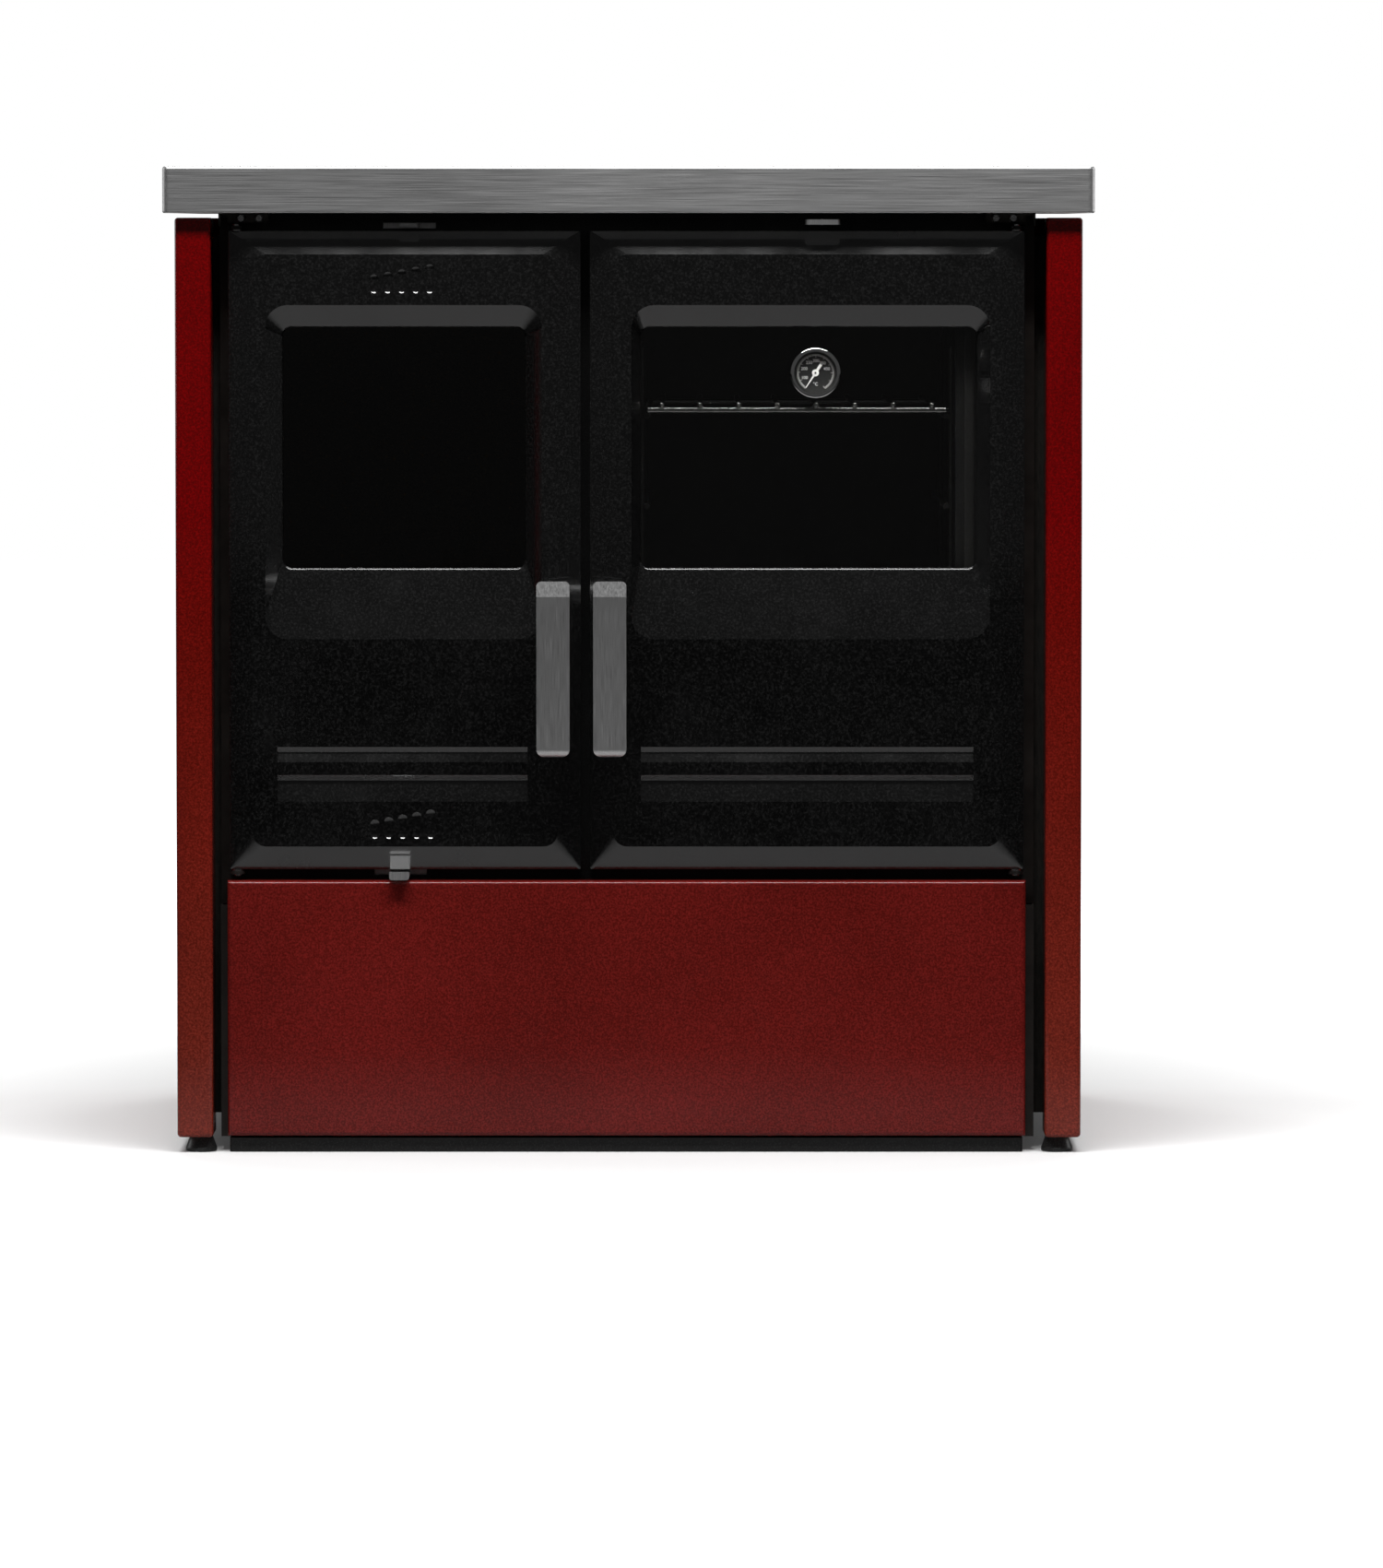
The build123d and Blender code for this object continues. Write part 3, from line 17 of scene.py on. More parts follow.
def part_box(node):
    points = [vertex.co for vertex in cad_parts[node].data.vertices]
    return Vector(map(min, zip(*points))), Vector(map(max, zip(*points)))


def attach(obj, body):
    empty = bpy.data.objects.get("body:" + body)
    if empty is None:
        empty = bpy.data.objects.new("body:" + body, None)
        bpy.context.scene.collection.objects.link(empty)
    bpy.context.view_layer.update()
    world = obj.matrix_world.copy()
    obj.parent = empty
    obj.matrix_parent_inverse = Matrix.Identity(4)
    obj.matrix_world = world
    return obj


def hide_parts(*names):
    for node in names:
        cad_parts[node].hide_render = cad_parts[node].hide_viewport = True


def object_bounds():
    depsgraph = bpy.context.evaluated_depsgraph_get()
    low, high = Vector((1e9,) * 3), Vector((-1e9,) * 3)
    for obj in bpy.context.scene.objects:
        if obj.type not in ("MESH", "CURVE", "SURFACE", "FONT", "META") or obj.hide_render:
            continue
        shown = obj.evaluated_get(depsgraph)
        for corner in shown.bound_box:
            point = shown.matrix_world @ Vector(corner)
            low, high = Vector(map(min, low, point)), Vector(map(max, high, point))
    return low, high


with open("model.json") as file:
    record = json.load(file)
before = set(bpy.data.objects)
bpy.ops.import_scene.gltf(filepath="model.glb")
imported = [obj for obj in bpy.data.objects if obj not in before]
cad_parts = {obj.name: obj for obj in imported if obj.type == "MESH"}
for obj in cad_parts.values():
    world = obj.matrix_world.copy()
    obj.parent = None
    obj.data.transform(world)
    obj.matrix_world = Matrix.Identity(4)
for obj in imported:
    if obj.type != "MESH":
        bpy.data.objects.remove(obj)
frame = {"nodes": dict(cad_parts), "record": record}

cad_low, cad_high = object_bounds()
slot_of = {part["node"]: part["material_slot"] for part in frame["record"]["subparts"]}
print("box of the cooker", [round(v, 4) for v in cad_low], [round(v, 4) for v in cad_high])

# %% [markdown]
# ## The camera
# The cooker is seen straight from the front, from far away and slightly above, so its sides
# stay parallel. A long lens does that: the camera stands eight metres off and looks down by a
# few degrees. It comes first, because everything else is judged through it.

# %% Camera
handle_depth = 0.025                  # how far the handles stand in front of the rim
front = cad_low.y + handle_depth
look_at = Vector((0.054, front, 0.3195))
camera_distance, camera_height = 8.0, 0.8
camera = bpy.data.objects.new("camera", bpy.data.cameras.new("camera"))
bpy.context.scene.collection.objects.link(camera)
camera.location = (look_at.x, front - camera_distance, camera_height)
camera.rotation_euler = (look_at - camera.location).to_track_quat("-Z", "Y").to_euler()
camera.data.lens = 213.8
camera.data.sensor_width = 36.0
bpy.context.scene.camera = camera
bpy.context.scene.view_settings.view_transform = "Standard"
print("camera at", [round(v, 3) for v in camera.location])

# %% [markdown]
# ## Short words for shader nodes
# A material is a small network of nodes. Writing each node out takes four or five lines, so a
# few helpers make the ones used again and again: noise that gives grain, a ramp that turns the
# grain into colours, and a bump that turns it into relief. All patterns are placed by Object
# coordinates, in metres, so the grain keeps its real size on every part.

# %% Shader helpers
def start_material(name, **sockets):
    """A new material and its Principled shader, with plain socket values set."""
    material = bpy.data.materials.new(name)
    material.use_nodes = True
    shader = material.node_tree.nodes["Principled BSDF"]
    for socket, value in sockets.items():
        shader.inputs[socket.replace("_", " ")].default_value = value
    return material, shader


def node(material, kind, **settings):
    """A node of that kind, with its settings or its sockets' values set."""
    made = material.node_tree.nodes.new(kind)
    for key, value in settings.items():
        if hasattr(made, key):
            setattr(made, key, value)
        else:
            made.inputs[key.replace("_", " ")].default_value = value
    return made


def join(material, source, target):
    """A link from one node's output to another's input."""
    material.node_tree.links.new(source, target)


def place(material, stretch=(1, 1, 1)):
    """Object coordinates, scaled so that a pattern is drawn out along an axis."""
    coordinates = node(material, "ShaderNodeTexCoord")
    mapping = node(material, "ShaderNodeMapping")
    mapping.inputs["Scale"].default_value = stretch
    join(material, coordinates.outputs["Object"], mapping.inputs["Vector"])
    return mapping.outputs["Vector"]


def noise(material, size, stretch=(1, 1, 1), detail=3.0, rough=0.55):
    """Noise whose grains are about that size in metres."""
    texture = node(material, "ShaderNodeTexNoise",
                   Scale=1 / size, Detail=detail, Roughness=rough)
    join(material, place(material, stretch), texture.inputs["Vector"])
    return texture.outputs["Fac"]


def cells(material, size, stretch=(1, 1, 1)):
    """Voronoi cells of about that size in metres: (distance, random colour)."""
    texture = node(material, "ShaderNodeTexVoronoi", Scale=1 / size)
    join(material, place(material, stretch), texture.inputs["Vector"])
    return texture.outputs["Distance"], texture.outputs["Color"]


def ramp(material, value, *stops):
    """Colours, or greys, along a value: each stop is (position, colour or grey)."""
    made = node(material, "ShaderNodeValToRGB")
    elements = made.color_ramp.elements
    while len(elements) < len(stops):
        elements.new(0.5)
    for element, (position, colour) in zip(elements, stops):
        element.position = position
        grey = isinstance(colour, (int, float))
        element.color = (colour, colour, colour, 1) if grey else (*colour, 1)
    join(material, value, made.inputs["Fac"])
    return made.outputs["Color"]


def mix(material, share, first, second, blend="MIX"):
    """Two colours mixed by a share. The share is a socket or a number, and each colour is a
    socket or three numbers."""
    made = node(material, "ShaderNodeMix", data_type="RGBA", blend_type=blend)
    colour_a, colour_b = made.inputs[6], made.inputs[7]     # the node's sockets for colours
    for socket, value in ((made.inputs[0], share), (colour_a, first), (colour_b, second)):
        if isinstance(value, bpy.types.NodeSocket):
            join(material, value, socket)
        elif isinstance(value, (int, float)):
            socket.default_value = value
        else:
            socket.default_value = (*value, 1)
    return made.outputs[2]


def arithmetic(material, operation, first, second=0.0):
    """One sum; each side may be a socket or a number."""
    made = node(material, "ShaderNodeMath", operation=operation)
    for socket, value in zip(made.inputs, (first, second)):
        if isinstance(value, bpy.types.NodeSocket):
            join(material, value, socket)
        else:
            socket.default_value = value
    return made.outputs[0]


def relief(material, shader, height, depth, strength):
    """A bump of that depth in metres, added to what already bumps the shader."""
    bump = node(material, "ShaderNodeBump", Strength=strength, Distance=depth)
    join(material, height, bump.inputs["Height"])
    before = shader.inputs["Normal"].links
    if before:
        join(material, before[0].from_socket, bump.inputs["Normal"])
    join(material, bump.outputs["Normal"], shader.inputs["Normal"])


finishes = {}


# %% [markdown]
# ## Enamel
# Enamel is glass melted on steel: a deep colour under a clear, hard, slightly wavy skin, the
# so-called orange peel. The red is dark, with tiny darker and lighter specks in it. On the side
# panels it is painted lighter and browner towards the floor: painted light, the pale floor's
# reflection put into the colour. The black of the doors is cast iron under
# thin enamel, so the casting's grain still shows through. The colour goes on the base of a
# Principled shader, and the clear skin is its coat.

# %% Red enamel
def red_enamel(name, top, bottom, floor_light_height, coat):
    """Red enamel, painted lighter and browner below a height in metres: painted light from the
    pale floor.
    """
    material, shader = start_material(name, Coat_Weight=coat, Coat_Roughness=0.05)
    shader.inputs["Specular IOR Level"].default_value = 0.15
    height = node(material, "ShaderNodeSeparateXYZ")
    join(material, place(material), height.inputs[0])
    # painted light: towards the floor the red turns lighter and browner, the pale floor's
    # reflection painted into the colour
    share = ramp(material, height.outputs["Z"], (0.02, 1.0), (floor_light_height, 0.0))
    colour = mix(material, share, top, bottom)
    specks = ramp(material, noise(material, 0.0017, rough=0.7),
                  (0.36, 0.6), (0.5, 0.97), (0.64, 1.6))
    colour = mix(material, 0.85, colour, specks, "MULTIPLY")
    clouds = ramp(material, noise(material, 0.16, detail=2.0), (0.3, 0.86), (0.7, 1.12))
    join(material, mix(material, 1.0, colour, clouds, "MULTIPLY"), shader.inputs["Base Color"])
    orange_peel = noise(material, 0.0035, detail=2.0)
    relief(material, shader, orange_peel, 0.00006, 0.6)
    rough = ramp(material, noise(material, 0.02), (0.3, 0.16), (0.7, 0.26))
    join(material, rough, shader.inputs["Roughness"])
    return material


finishes["red_enamel"] = red_enamel(
    "red_enamel", top=(0.18, 0.0005, 0.0009), bottom=(0.215, 0.027, 0.015),
    floor_light_height=0.55, coat=0.45)
finishes["red_enamel_drawer"] = red_enamel(
    "red_enamel_drawer", top=(0.155, 0.0105, 0.0085), bottom=(0.165, 0.0105, 0.0086),
    floor_light_height=0.3, coat=0.35)
print("red enamels ready")

# %% Black enamel and black paint
def black_enamel(name, grey, grain, depth, rough, coat):
    """A black finish with fine grain: the grain's size and the relief's depth in metres."""
    material, shader = start_material(name, Coat_Weight=coat, Coat_Roughness=0.05)
    specks = noise(material, grain)
    colour = ramp(material, specks, (0.36, grey * 0.3), (0.52, grey), (0.68, grey * 3.6))
    join(material, colour, shader.inputs["Base Color"])
    relief(material, shader, specks, depth, 0.5)
    relief(material, shader, noise(material, 0.012, detail=1.0), 0.0001, 0.25)
    broad = ramp(material, noise(material, 0.06), (0.3, rough - 0.07), (0.7, rough + 0.08))
    join(material, broad, shader.inputs["Roughness"])
    return material


finishes["black_enamel"] = black_enamel("black_enamel", 0.0042, 0.0019, 0.00007, 0.2, 1.0)
finishes["black_paint"] = black_enamel("black_paint", 0.006, 0.0016, 0.00008, 0.5, 0.0)
finishes["frame_paint"] = black_enamel("frame_paint", 0.006, 0.0013, 0.0001, 0.52, 0.0)
finishes["foot_plastic"] = black_enamel("foot_plastic", 0.014, 0.0009, 0.00006, 0.45, 0.0)
finishes["dial_black"] = black_enamel("dial_black", 0.004, 0.0004, 0.00001, 0.6, 0.0)
print("black finishes ready")

# %% [markdown]
# ## Steel
# Brushed steel has fine scratches all in one direction, which smear reflections across them.
# The scratches are noise that is drawn out fifty times or more along the brushing. On the rim
# they follow each side of it, so the pattern turns with the side: the surface's own direction, and
# how far out it lies, pick which one shows. Galvanised sheet has zinc crystals instead, flat
# patches with sharp edges, and the firebox's steel is blotched by heat.

# %% Brushed steel
def scratches(material, along, size=0.0006, drawn=0.008):
    """Noise drawn out along one axis: 0, 1 or 2 for x, y or z."""
    stretch = [1.0, 1.0, 1.0]
    stretch[along] = drawn
    return noise(material, size, stretch, detail=4.0, rough=0.65)


def brushed(material, shader, streaks, dark, light, rough):
    """Brushed steel on a shader, from the streaks to their colours, gloss and relief."""
    colour = ramp(material, streaks, (0.33, dark), (0.68, light))
    broad = ramp(material, noise(material, 0.19, detail=1.5), (0.32, 0.84), (0.68, 1.1))
    join(material, mix(material, 1.0, colour, broad, "MULTIPLY"), shader.inputs["Base Color"])
    join(material, ramp(material, streaks, (0.3, rough - 0.06), (0.7, rough + 0.08)),
         shader.inputs["Roughness"])
    relief(material, shader, streaks, 0.00003, 0.5)


side_strips = 0.335                   # beyond this distance from the middle the rim runs back


def magnitude(material, value):
    return arithmetic(material, "ABSOLUTE", value)


def over(material, value, limit):
    return arithmetic(material, "GREATER_THAN", value, limit)


def brushed_rim():
    material, shader = start_material("brushed_rim", Metallic=1.0)
    facing = node(material, "ShaderNodeSeparateXYZ")
    join(material, node(material, "ShaderNodeTexCoord").outputs["Normal"], facing.inputs[0])
    spot = node(material, "ShaderNodeSeparateXYZ")
    join(material, place(material), spot.inputs[0])
    side = over(material, magnitude(material, facing.outputs["X"]), 0.6)
    outside = over(material, magnitude(material, spot.outputs["X"]), side_strips)
    flat = over(material, facing.outputs["Z"], 0.8)
    turned = arithmetic(material, "MAXIMUM", side, arithmetic(material, "MULTIPLY", flat, outside))
    streaks = mix(material, turned, scratches(material, 0), scratches(material, 1))
    brushed(material, shader, streaks, dark=0.62, light=0.86, rough=0.46)
    return material


def satin(name, along, dark, light, rough):
    material, shader = start_material(name, Metallic=1.0)
    brushed(material, shader, scratches(material, along, 0.0005, 0.02), dark, light, rough)
    return material


finishes["brushed_rim"] = brushed_rim()
finishes["satin_steel"] = satin("satin_steel", along=2, dark=0.6, light=0.82, rough=0.4)
finishes["bright_screws"] = satin("bright_screws", along=0, dark=0.5, light=0.7, rough=0.26)
print("brushed finishes ready")

# %% Chrome, zinc and heat-darkened steel
def chrome(name, grey, rough):
    material, shader = start_material(name, Metallic=1.0)
    haze = noise(material, 0.004, detail=2.0)
    colour = ramp(material, haze, (0.3, grey * 0.9), (0.7, grey))
    join(material, colour, shader.inputs["Base Color"])
    gloss = ramp(material, haze, (0.3, rough), (0.75, rough + 0.06))
    join(material, gloss, shader.inputs["Roughness"])
    return material


def zinc(name, dark, light):
    spangle = 0.009                   # the zinc crystals' size
    material, shader = start_material(name, Metallic=0.9)
    edge, patch = cells(material, spangle)
    value = node(material, "ShaderNodeSeparateColor")
    join(material, patch, value.inputs[0])
    colour = ramp(material, value.outputs[0], (0.0, dark), (1.0, light))
    join(material, colour, shader.inputs["Base Color"])
    gloss = ramp(material, value.outputs[1], (0.0, 0.36), (1.0, 0.56))
    join(material, gloss, shader.inputs["Roughness"])
    relief(material, shader, edge, 0.00004, 0.3)
    return material


def heated(name, low, high, metallic, rough, grain=0.03):
    material, shader = start_material(name, Metallic=metallic)
    blotch = noise(material, grain, detail=5.0, rough=0.65)
    colour = ramp(material, blotch, (0.35, low), (0.7, high))
    join(material, colour, shader.inputs["Base Color"])
    gloss = ramp(material, blotch, (0.3, rough), (0.7, rough + 0.15))
    join(material, gloss, shader.inputs["Roughness"])
    relief(material, shader, noise(material, 0.0014), 0.00008, 0.4)
    return material


finishes["chromed_bezel"] = chrome("chromed_bezel", 0.9, 0.05)
finishes["chromed_wire"] = chrome("chromed_wire", 0.8, 0.12)
# painted shade: a darkened copy of the wire's chrome, for the rack guides in the shade of the oven
shaded_wire = chrome("shaded_wire", 0.12, 0.3)
# painted highlight: a brighter copy of the wire's chrome, so the wire ends show as bright dots
wire_tip = chrome("wire_tip", 0.95, 0.22)
finishes["galvanised_steel"] = zinc("galvanised_steel", 0.34, 0.56)
finishes["grey_steel"] = heated(
    "grey_steel", (0.016, 0.013, 0.011), (0.034, 0.029, 0.025), metallic=0.3, rough=0.4)
finishes["dark_steel"] = heated(
    "dark_steel", (0.011, 0.010, 0.010), (0.04, 0.035, 0.032), metallic=0.6, rough=0.42)
# partly painted shade: the oven's black enamel, set darker still to stand for the shade inside the
# closed oven
finishes["oven_steel"] = heated(
    "oven_steel", (0.003, 0.003, 0.0035), (0.008, 0.008, 0.009), metallic=0.0, rough=0.3,
    grain=0.008)
print("chrome, zinc and heated steel ready")

# %% [markdown]
# ## Cast iron, brick, rope and wool
# Cast iron keeps the grain of the sand it was poured in. The hob is ground flat and blackened,
# so its top is smoother than the grate's. The firebox is lined with light insulating brick,
# made of pressed mica flakes, buff and dusty with soot low down. The rope seals are knitted
# glass fibre, and the body is packed with mineral wool.

# %% Cast iron
def cast_iron(name, low, high, rough, depth):
    material, shader = start_material(name, Metallic=0.55)
    grain = noise(material, 0.0018, detail=4.0, rough=0.7)
    stain = noise(material, 0.07, detail=4.0)
    colour = mix(material, 0.6, ramp(material, grain, (0.35, low), (0.7, high)),
                 ramp(material, stain, (0.35, low), (0.7, high)))
    join(material, colour, shader.inputs["Base Color"])
    gloss = ramp(material, stain, (0.3, rough), (0.7, rough + 0.14))
    join(material, gloss, shader.inputs["Roughness"])
    relief(material, shader, grain, depth, 0.6)
    return material


finishes["cast_iron"] = cast_iron("cast_iron", low=0.012, high=0.04, rough=0.5, depth=0.0003)
ground_iron = cast_iron("ground_iron", low=0.026, high=0.048, rough=0.32, depth=0.00008)
print("cast iron ready")

# %% Brick, rope and wool
def firebrick():
    material, shader = start_material("firebrick", Roughness=0.92)
    flakes, patch = cells(material, 0.0032, (1, 1, 1.6))
    value = node(material, "ShaderNodeSeparateColor")
    join(material, patch, value.inputs[0])
    colour = ramp(material, value.outputs[0], (0.0, (0.2, 0.14, 0.08)), (0.5, (0.37, 0.28, 0.17)),
                  (1.0, (0.5, 0.42, 0.29)))
    height = node(material, "ShaderNodeSeparateXYZ")
    join(material, place(material), height.inputs[0])
    low = ramp(material, height.outputs["Z"], (0.3, 0.75), (0.62, 0.15))
    soot = ramp(material, noise(material, 0.09, detail=5.0), (0.35, 0.2), (0.65, 1.0))
    share = mix(material, 1.0, low, soot, "MULTIPLY")
    sooted = mix(material, share, colour, (0.018, 0.016, 0.014))
    join(material, sooted, shader.inputs["Base Color"])
    relief(material, shader, flakes, 0.0005, 0.5)
    return material


def fibre(name, dark, light, size, stretch=(1, 1, 1)):
    material, shader = start_material(name, Roughness=0.95, Sheen_Weight=0.25)
    threads = noise(material, size, stretch, detail=5.0, rough=0.7)
    join(material, ramp(material, threads, (0.3, dark), (0.7, light)), shader.inputs["Base Color"])
    relief(material, shader, threads, 0.0005, 0.7)
    return material


finishes["firebrick"] = firebrick()
finishes["rope_seal"] = fibre(
    "rope_seal", (0.008, 0.008, 0.008), (0.035, 0.034, 0.033), size=0.0008)
finishes["mineral_wool"] = fibre(
    "mineral_wool", (0.008, 0.007, 0.006), (0.03, 0.026, 0.02), size=0.004,
    stretch=(1, 0.25, 0.25))
finishes["needle_white"] = fibre(
    "needle_white", (0.9, 0.9, 0.88), (1.0, 1.0, 0.98), size=0.002)
print("brick and fibre ready")

# %% [markdown]
# ## Glass
# The panes are glass ceramic, faintly brown, with a little dust inside. The fire and oven panes
# are tinted far darker than that: painted shade, which stands for the dim firebox and oven
# behind them. A lamp's light has to reach what is behind them, so for rays that go to lamps the
# glass counts as see-through. That is the usual way to light a scene through a window, and it
# costs nothing.

# %% Glass
def choose(material, ray, otherwise, when_true):
    """The material's surface: one shader, or another for that kind of ray."""
    chooser = node(material, "ShaderNodeMixShader")
    for source, target in zip((ray, otherwise, when_true), chooser.inputs):
        join(material, source, target)
    surface = material.node_tree.nodes["Material Output"].inputs["Surface"]
    join(material, chooser.outputs[0], surface)


def pane(name, tint, rough, dust):
    material, shader = start_material(name, Transmission_Weight=1.0, IOR=1.47)
    smudge = noise(material, 0.05, detail=5.0, rough=0.6)
    haze = ramp(material, smudge, (0.5, rough), (0.8, rough + dust))
    join(material, haze, shader.inputs["Roughness"])
    darker = [channel * 0.86 for channel in tint]
    join(material, ramp(material, smudge, (0.4, tint), (0.8, darker)), shader.inputs["Base Color"])
    passing = node(material, "ShaderNodeBsdfTransparent")
    passing.inputs["Color"].default_value = (*tint, 1)
    to_lamps = node(material, "ShaderNodeLightPath").outputs["Is Shadow Ray"]
    choose(material, to_lamps, shader.outputs[0], passing.outputs[0])
    return material


# painted shade: the fire and oven panes are tinted far darker than real glass ceramic, to stand
# for the dim inside behind them
finishes["fire_glass"] = pane("fire_glass", (0.2, 0.185, 0.17), rough=0.012, dust=0.05)
finishes["oven_glass"] = pane("oven_glass", (0.62, 0.62, 0.61), rough=0.008, dust=0.03)
finishes["gauge_lens"] = pane("gauge_lens", (0.98, 0.98, 0.97), rough=0.004, dust=0.01)
print("glass ready")

# %% [markdown]
# ## Finishes on the CAD parts
# Every CAD part names the finish it wants, its material slot. Each slot has one material, and
# the flat iron of the hob gets its own, smoother than the grate. The parts' meshes stay as
# they are: only what is painted on them changes.

# %% Assign the finishes
# the rack guides get the darkened chrome, a painted shade
own_finish = {"hob_plate": ground_iron, "hob_ring": ground_iron, "hob_disc": ground_iron,
              "hob_frame": ground_iron, "rack_guides": shaded_wire}
for name, part in frame["nodes"].items():
    material = own_finish.get(name, finishes[slot_of[name]])
    if not part.material_slots:
        part.data.materials.append(material)
    for spot in part.material_slots:
        spot.material = material
print("finished", len(frame["nodes"]), "parts with", len(set(slot_of.values())), "materials")

# %% [markdown]
# ## The printed dial
# The thermometer's black face carries a double white arc, short strokes and the numbers in
# degrees. Print is flat, but a flat face exactly on another flickers, so each mark is a thin
# prism that stands six hundredths of a millimetre proud of the face. Angles run clockwise from
# straight down, as a hand would turn.

# %% Dial marks
dial_low, dial_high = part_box("thermometer_dial")
dial_x, dial_z = (dial_low.x + dial_high.x) / 2, (dial_low.z + dial_high.z) / 2
print_back, print_thick = dial_low.y, 0.00006
print_gap = 0.000004                  # the marks' backs float this far off the face


def on_dial(radius, angle):
    """A point on the face, by its radius and its clockwise angle from straight down."""
    return Vector((dial_x - radius * sin(angle), 0, dial_z - radius * cos(angle)))


def prism(mesh, corners):
    """A thin plate on the dial through corners that run anticlockwise as seen from the front."""
    near = [mesh.verts.new((c.x, print_back - print_thick, c.z)) for c in corners]
    far = [mesh.verts.new((c.x, print_back - print_gap, c.z)) for c in corners]
    mesh.faces.new(near)
    mesh.faces.new(far[::-1])
    for i, corner in enumerate(near):
        after = (i + 1) % len(near)
        mesh.faces.new((corner, far[i], far[after], near[after]))


def dial_arc(mesh, inner, outer, start, end, steps):
    """Part of a ring between two radii, as a row of flat prisms."""
    for i in range(steps):
        a, b = (start + (end - start) * share for share in (i / steps, (i + 1) / steps))
        prism(mesh, [on_dial(inner, a), on_dial(inner, b),
                     on_dial(outer, b), on_dial(outer, a)])


marks = bmesh.new()
scale_start, scale_end = radians(33), radians(329)
for inner, outer in ((0.01485, 0.01515), (0.01585, 0.01605)):
    dial_arc(marks, inner, outer, scale_start, scale_end, steps=74)
strokes, stroke_top, strokes_radius = 30, 0.0149, 0.0155
for i in range(strokes + 1):
    angle = scale_start + (scale_end - scale_start) * i / strokes
    long_stroke = i % 3 == 0
    stroke_foot = 0.0131 if long_stroke else 0.0140
    half_width = 0.00016 if long_stroke else 0.00009
    spread = half_width / strokes_radius
    dial_arc(marks, stroke_foot, stroke_top, angle - spread, angle + spread, steps=1)
print("dial marks", len(marks.faces), "faces")

# %% [markdown]
# ## Numbers on the dial
# Blender's own typeface gives the numbers. A text object is made a plain mesh before it is put
# in place, so its object sits at the origin like everything else. The marks and the numbers
# then become one piece, which rides on the oven door.

# %% Dial numbers
def lettering(mesh, text, height, centre_x, centre_z):
    """Numbers on the face, added to the marks as a thin mesh."""
    curve = bpy.data.curves.new("number", "FONT")
    curve.body, curve.size, curve.align_x, curve.align_y = text, height, "CENTER", "CENTER"
    curve.extrude = print_thick / 2
    curve.resolution_u = 3
    writer = bpy.data.objects.new("number", curve)
    bpy.context.scene.collection.objects.link(writer)
    graph = bpy.context.evaluated_depsgraph_get()
    flat = bpy.data.meshes.new_from_object(writer.evaluated_get(graph))
    middle_of_print = print_back - print_thick / 2 - print_gap
    upright = Matrix(((1, 0, 0, centre_x), (0, 0, -1, middle_of_print),
                      (0, 1, 0, centre_z), (0, 0, 0, 1)))
    flat.transform(upright)
    mesh.from_mesh(flat)
    bpy.data.objects.remove(writer)
    bpy.data.meshes.remove(flat)


number_height, number_radius = 0.0038, 0.0103
numbers = {"100": 66, "200": 110, "250": 148, "300": 182, "350": 216, "400": 251}
for text, degrees in numbers.items():
    spot = on_dial(number_radius, radians(degrees))
    lettering(marks, text, number_height, spot.x, spot.z)
unit_height, unit_drop = 0.0040, 0.0098
lettering(marks, "°C", unit_height, dial_x, dial_z - unit_drop)
print("numbers on the dial", len(numbers))


# %% The print as a piece
def put_on_body(name, data, body):
    """A mesh as a finished piece that rides on a body."""
    made = bpy.data.objects.new(name, data)
    bpy.context.scene.collection.objects.link(made)
    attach(made, body)
    print(name, len(data.polygons), "faces")
    return made


print_data = bpy.data.meshes.new("dial_print")
marks.to_mesh(print_data)
marks.free()
print_data.materials.clear()
print_data.materials.append(finishes["needle_white"])
put_on_body("dial_print", print_data, "oven_door")

# %% [markdown]
# ## Short words for geometry nodes
# Rope stitches and screws repeat, so Geometry Nodes make them. A tree is built once, with its
# sizes as named inputs, and is used on several pieces. Each result is turned into a plain mesh
# and the tree is taken off again.

# %% Geometry node helpers
def new_tree(name, *inputs):
    """A geometry tree with inputs (name, type, value), its input node and its output node."""
    tree = bpy.data.node_groups.new(name, "GeometryNodeTree")
    new_socket = tree.interface.new_socket
    new_socket("Geometry", in_out="INPUT", socket_type="NodeSocketGeometry")
    new_socket("Geometry", in_out="OUTPUT", socket_type="NodeSocketGeometry")
    for label, kind, value in inputs:
        socket = new_socket(label, in_out="INPUT", socket_type="NodeSocket" + kind)
        if value is not None:
            socket.default_value = value
    return tree, tree.nodes.new("NodeGroupInput"), tree.nodes.new("NodeGroupOutput")


def add(tree, kind, links=None, **settings):
    """A node in a tree. links maps a socket's name or number to the socket or value for it."""
    made = tree.nodes.new(kind)
    for key, value in settings.items():
        setattr(made, key, value)
    for key, value in (links or {}).items():
        if isinstance(value, bpy.types.NodeSocket):
            tree.links.new(value, made.inputs[key])
        else:
            made.inputs[key].default_value = value
    return made


def times(tree, socket, factor):
    """A size multiplied by a number."""
    return add(tree, "ShaderNodeMath", {0: socket, 1: factor}, operation="MULTIPLY").outputs[0]


def vector(tree, **sizes):
    """A vector from sizes along X, Y and Z."""
    return add(tree, "ShaderNodeCombineXYZ", sizes).outputs[0]


def finish_tree(tree, instances, material, result):
    """Ends a tree: real geometry instead of copies, with its material set."""
    real = add(tree, "GeometryNodeRealizeInstances", {0: instances})
    painted = add(tree, "GeometryNodeSetMaterial",
                  {"Geometry": real.outputs[0], "Material": material})
    tree.links.new(painted.outputs[0], result.inputs[0])
    print(tree.name, "tree has", len(tree.nodes), "nodes")


def points_mesh(name, points):
    """A mesh of loose points, for a tree that puts a copy on each."""
    base = bpy.data.meshes.new(name)
    base.from_pydata(points, [], [])
    return base


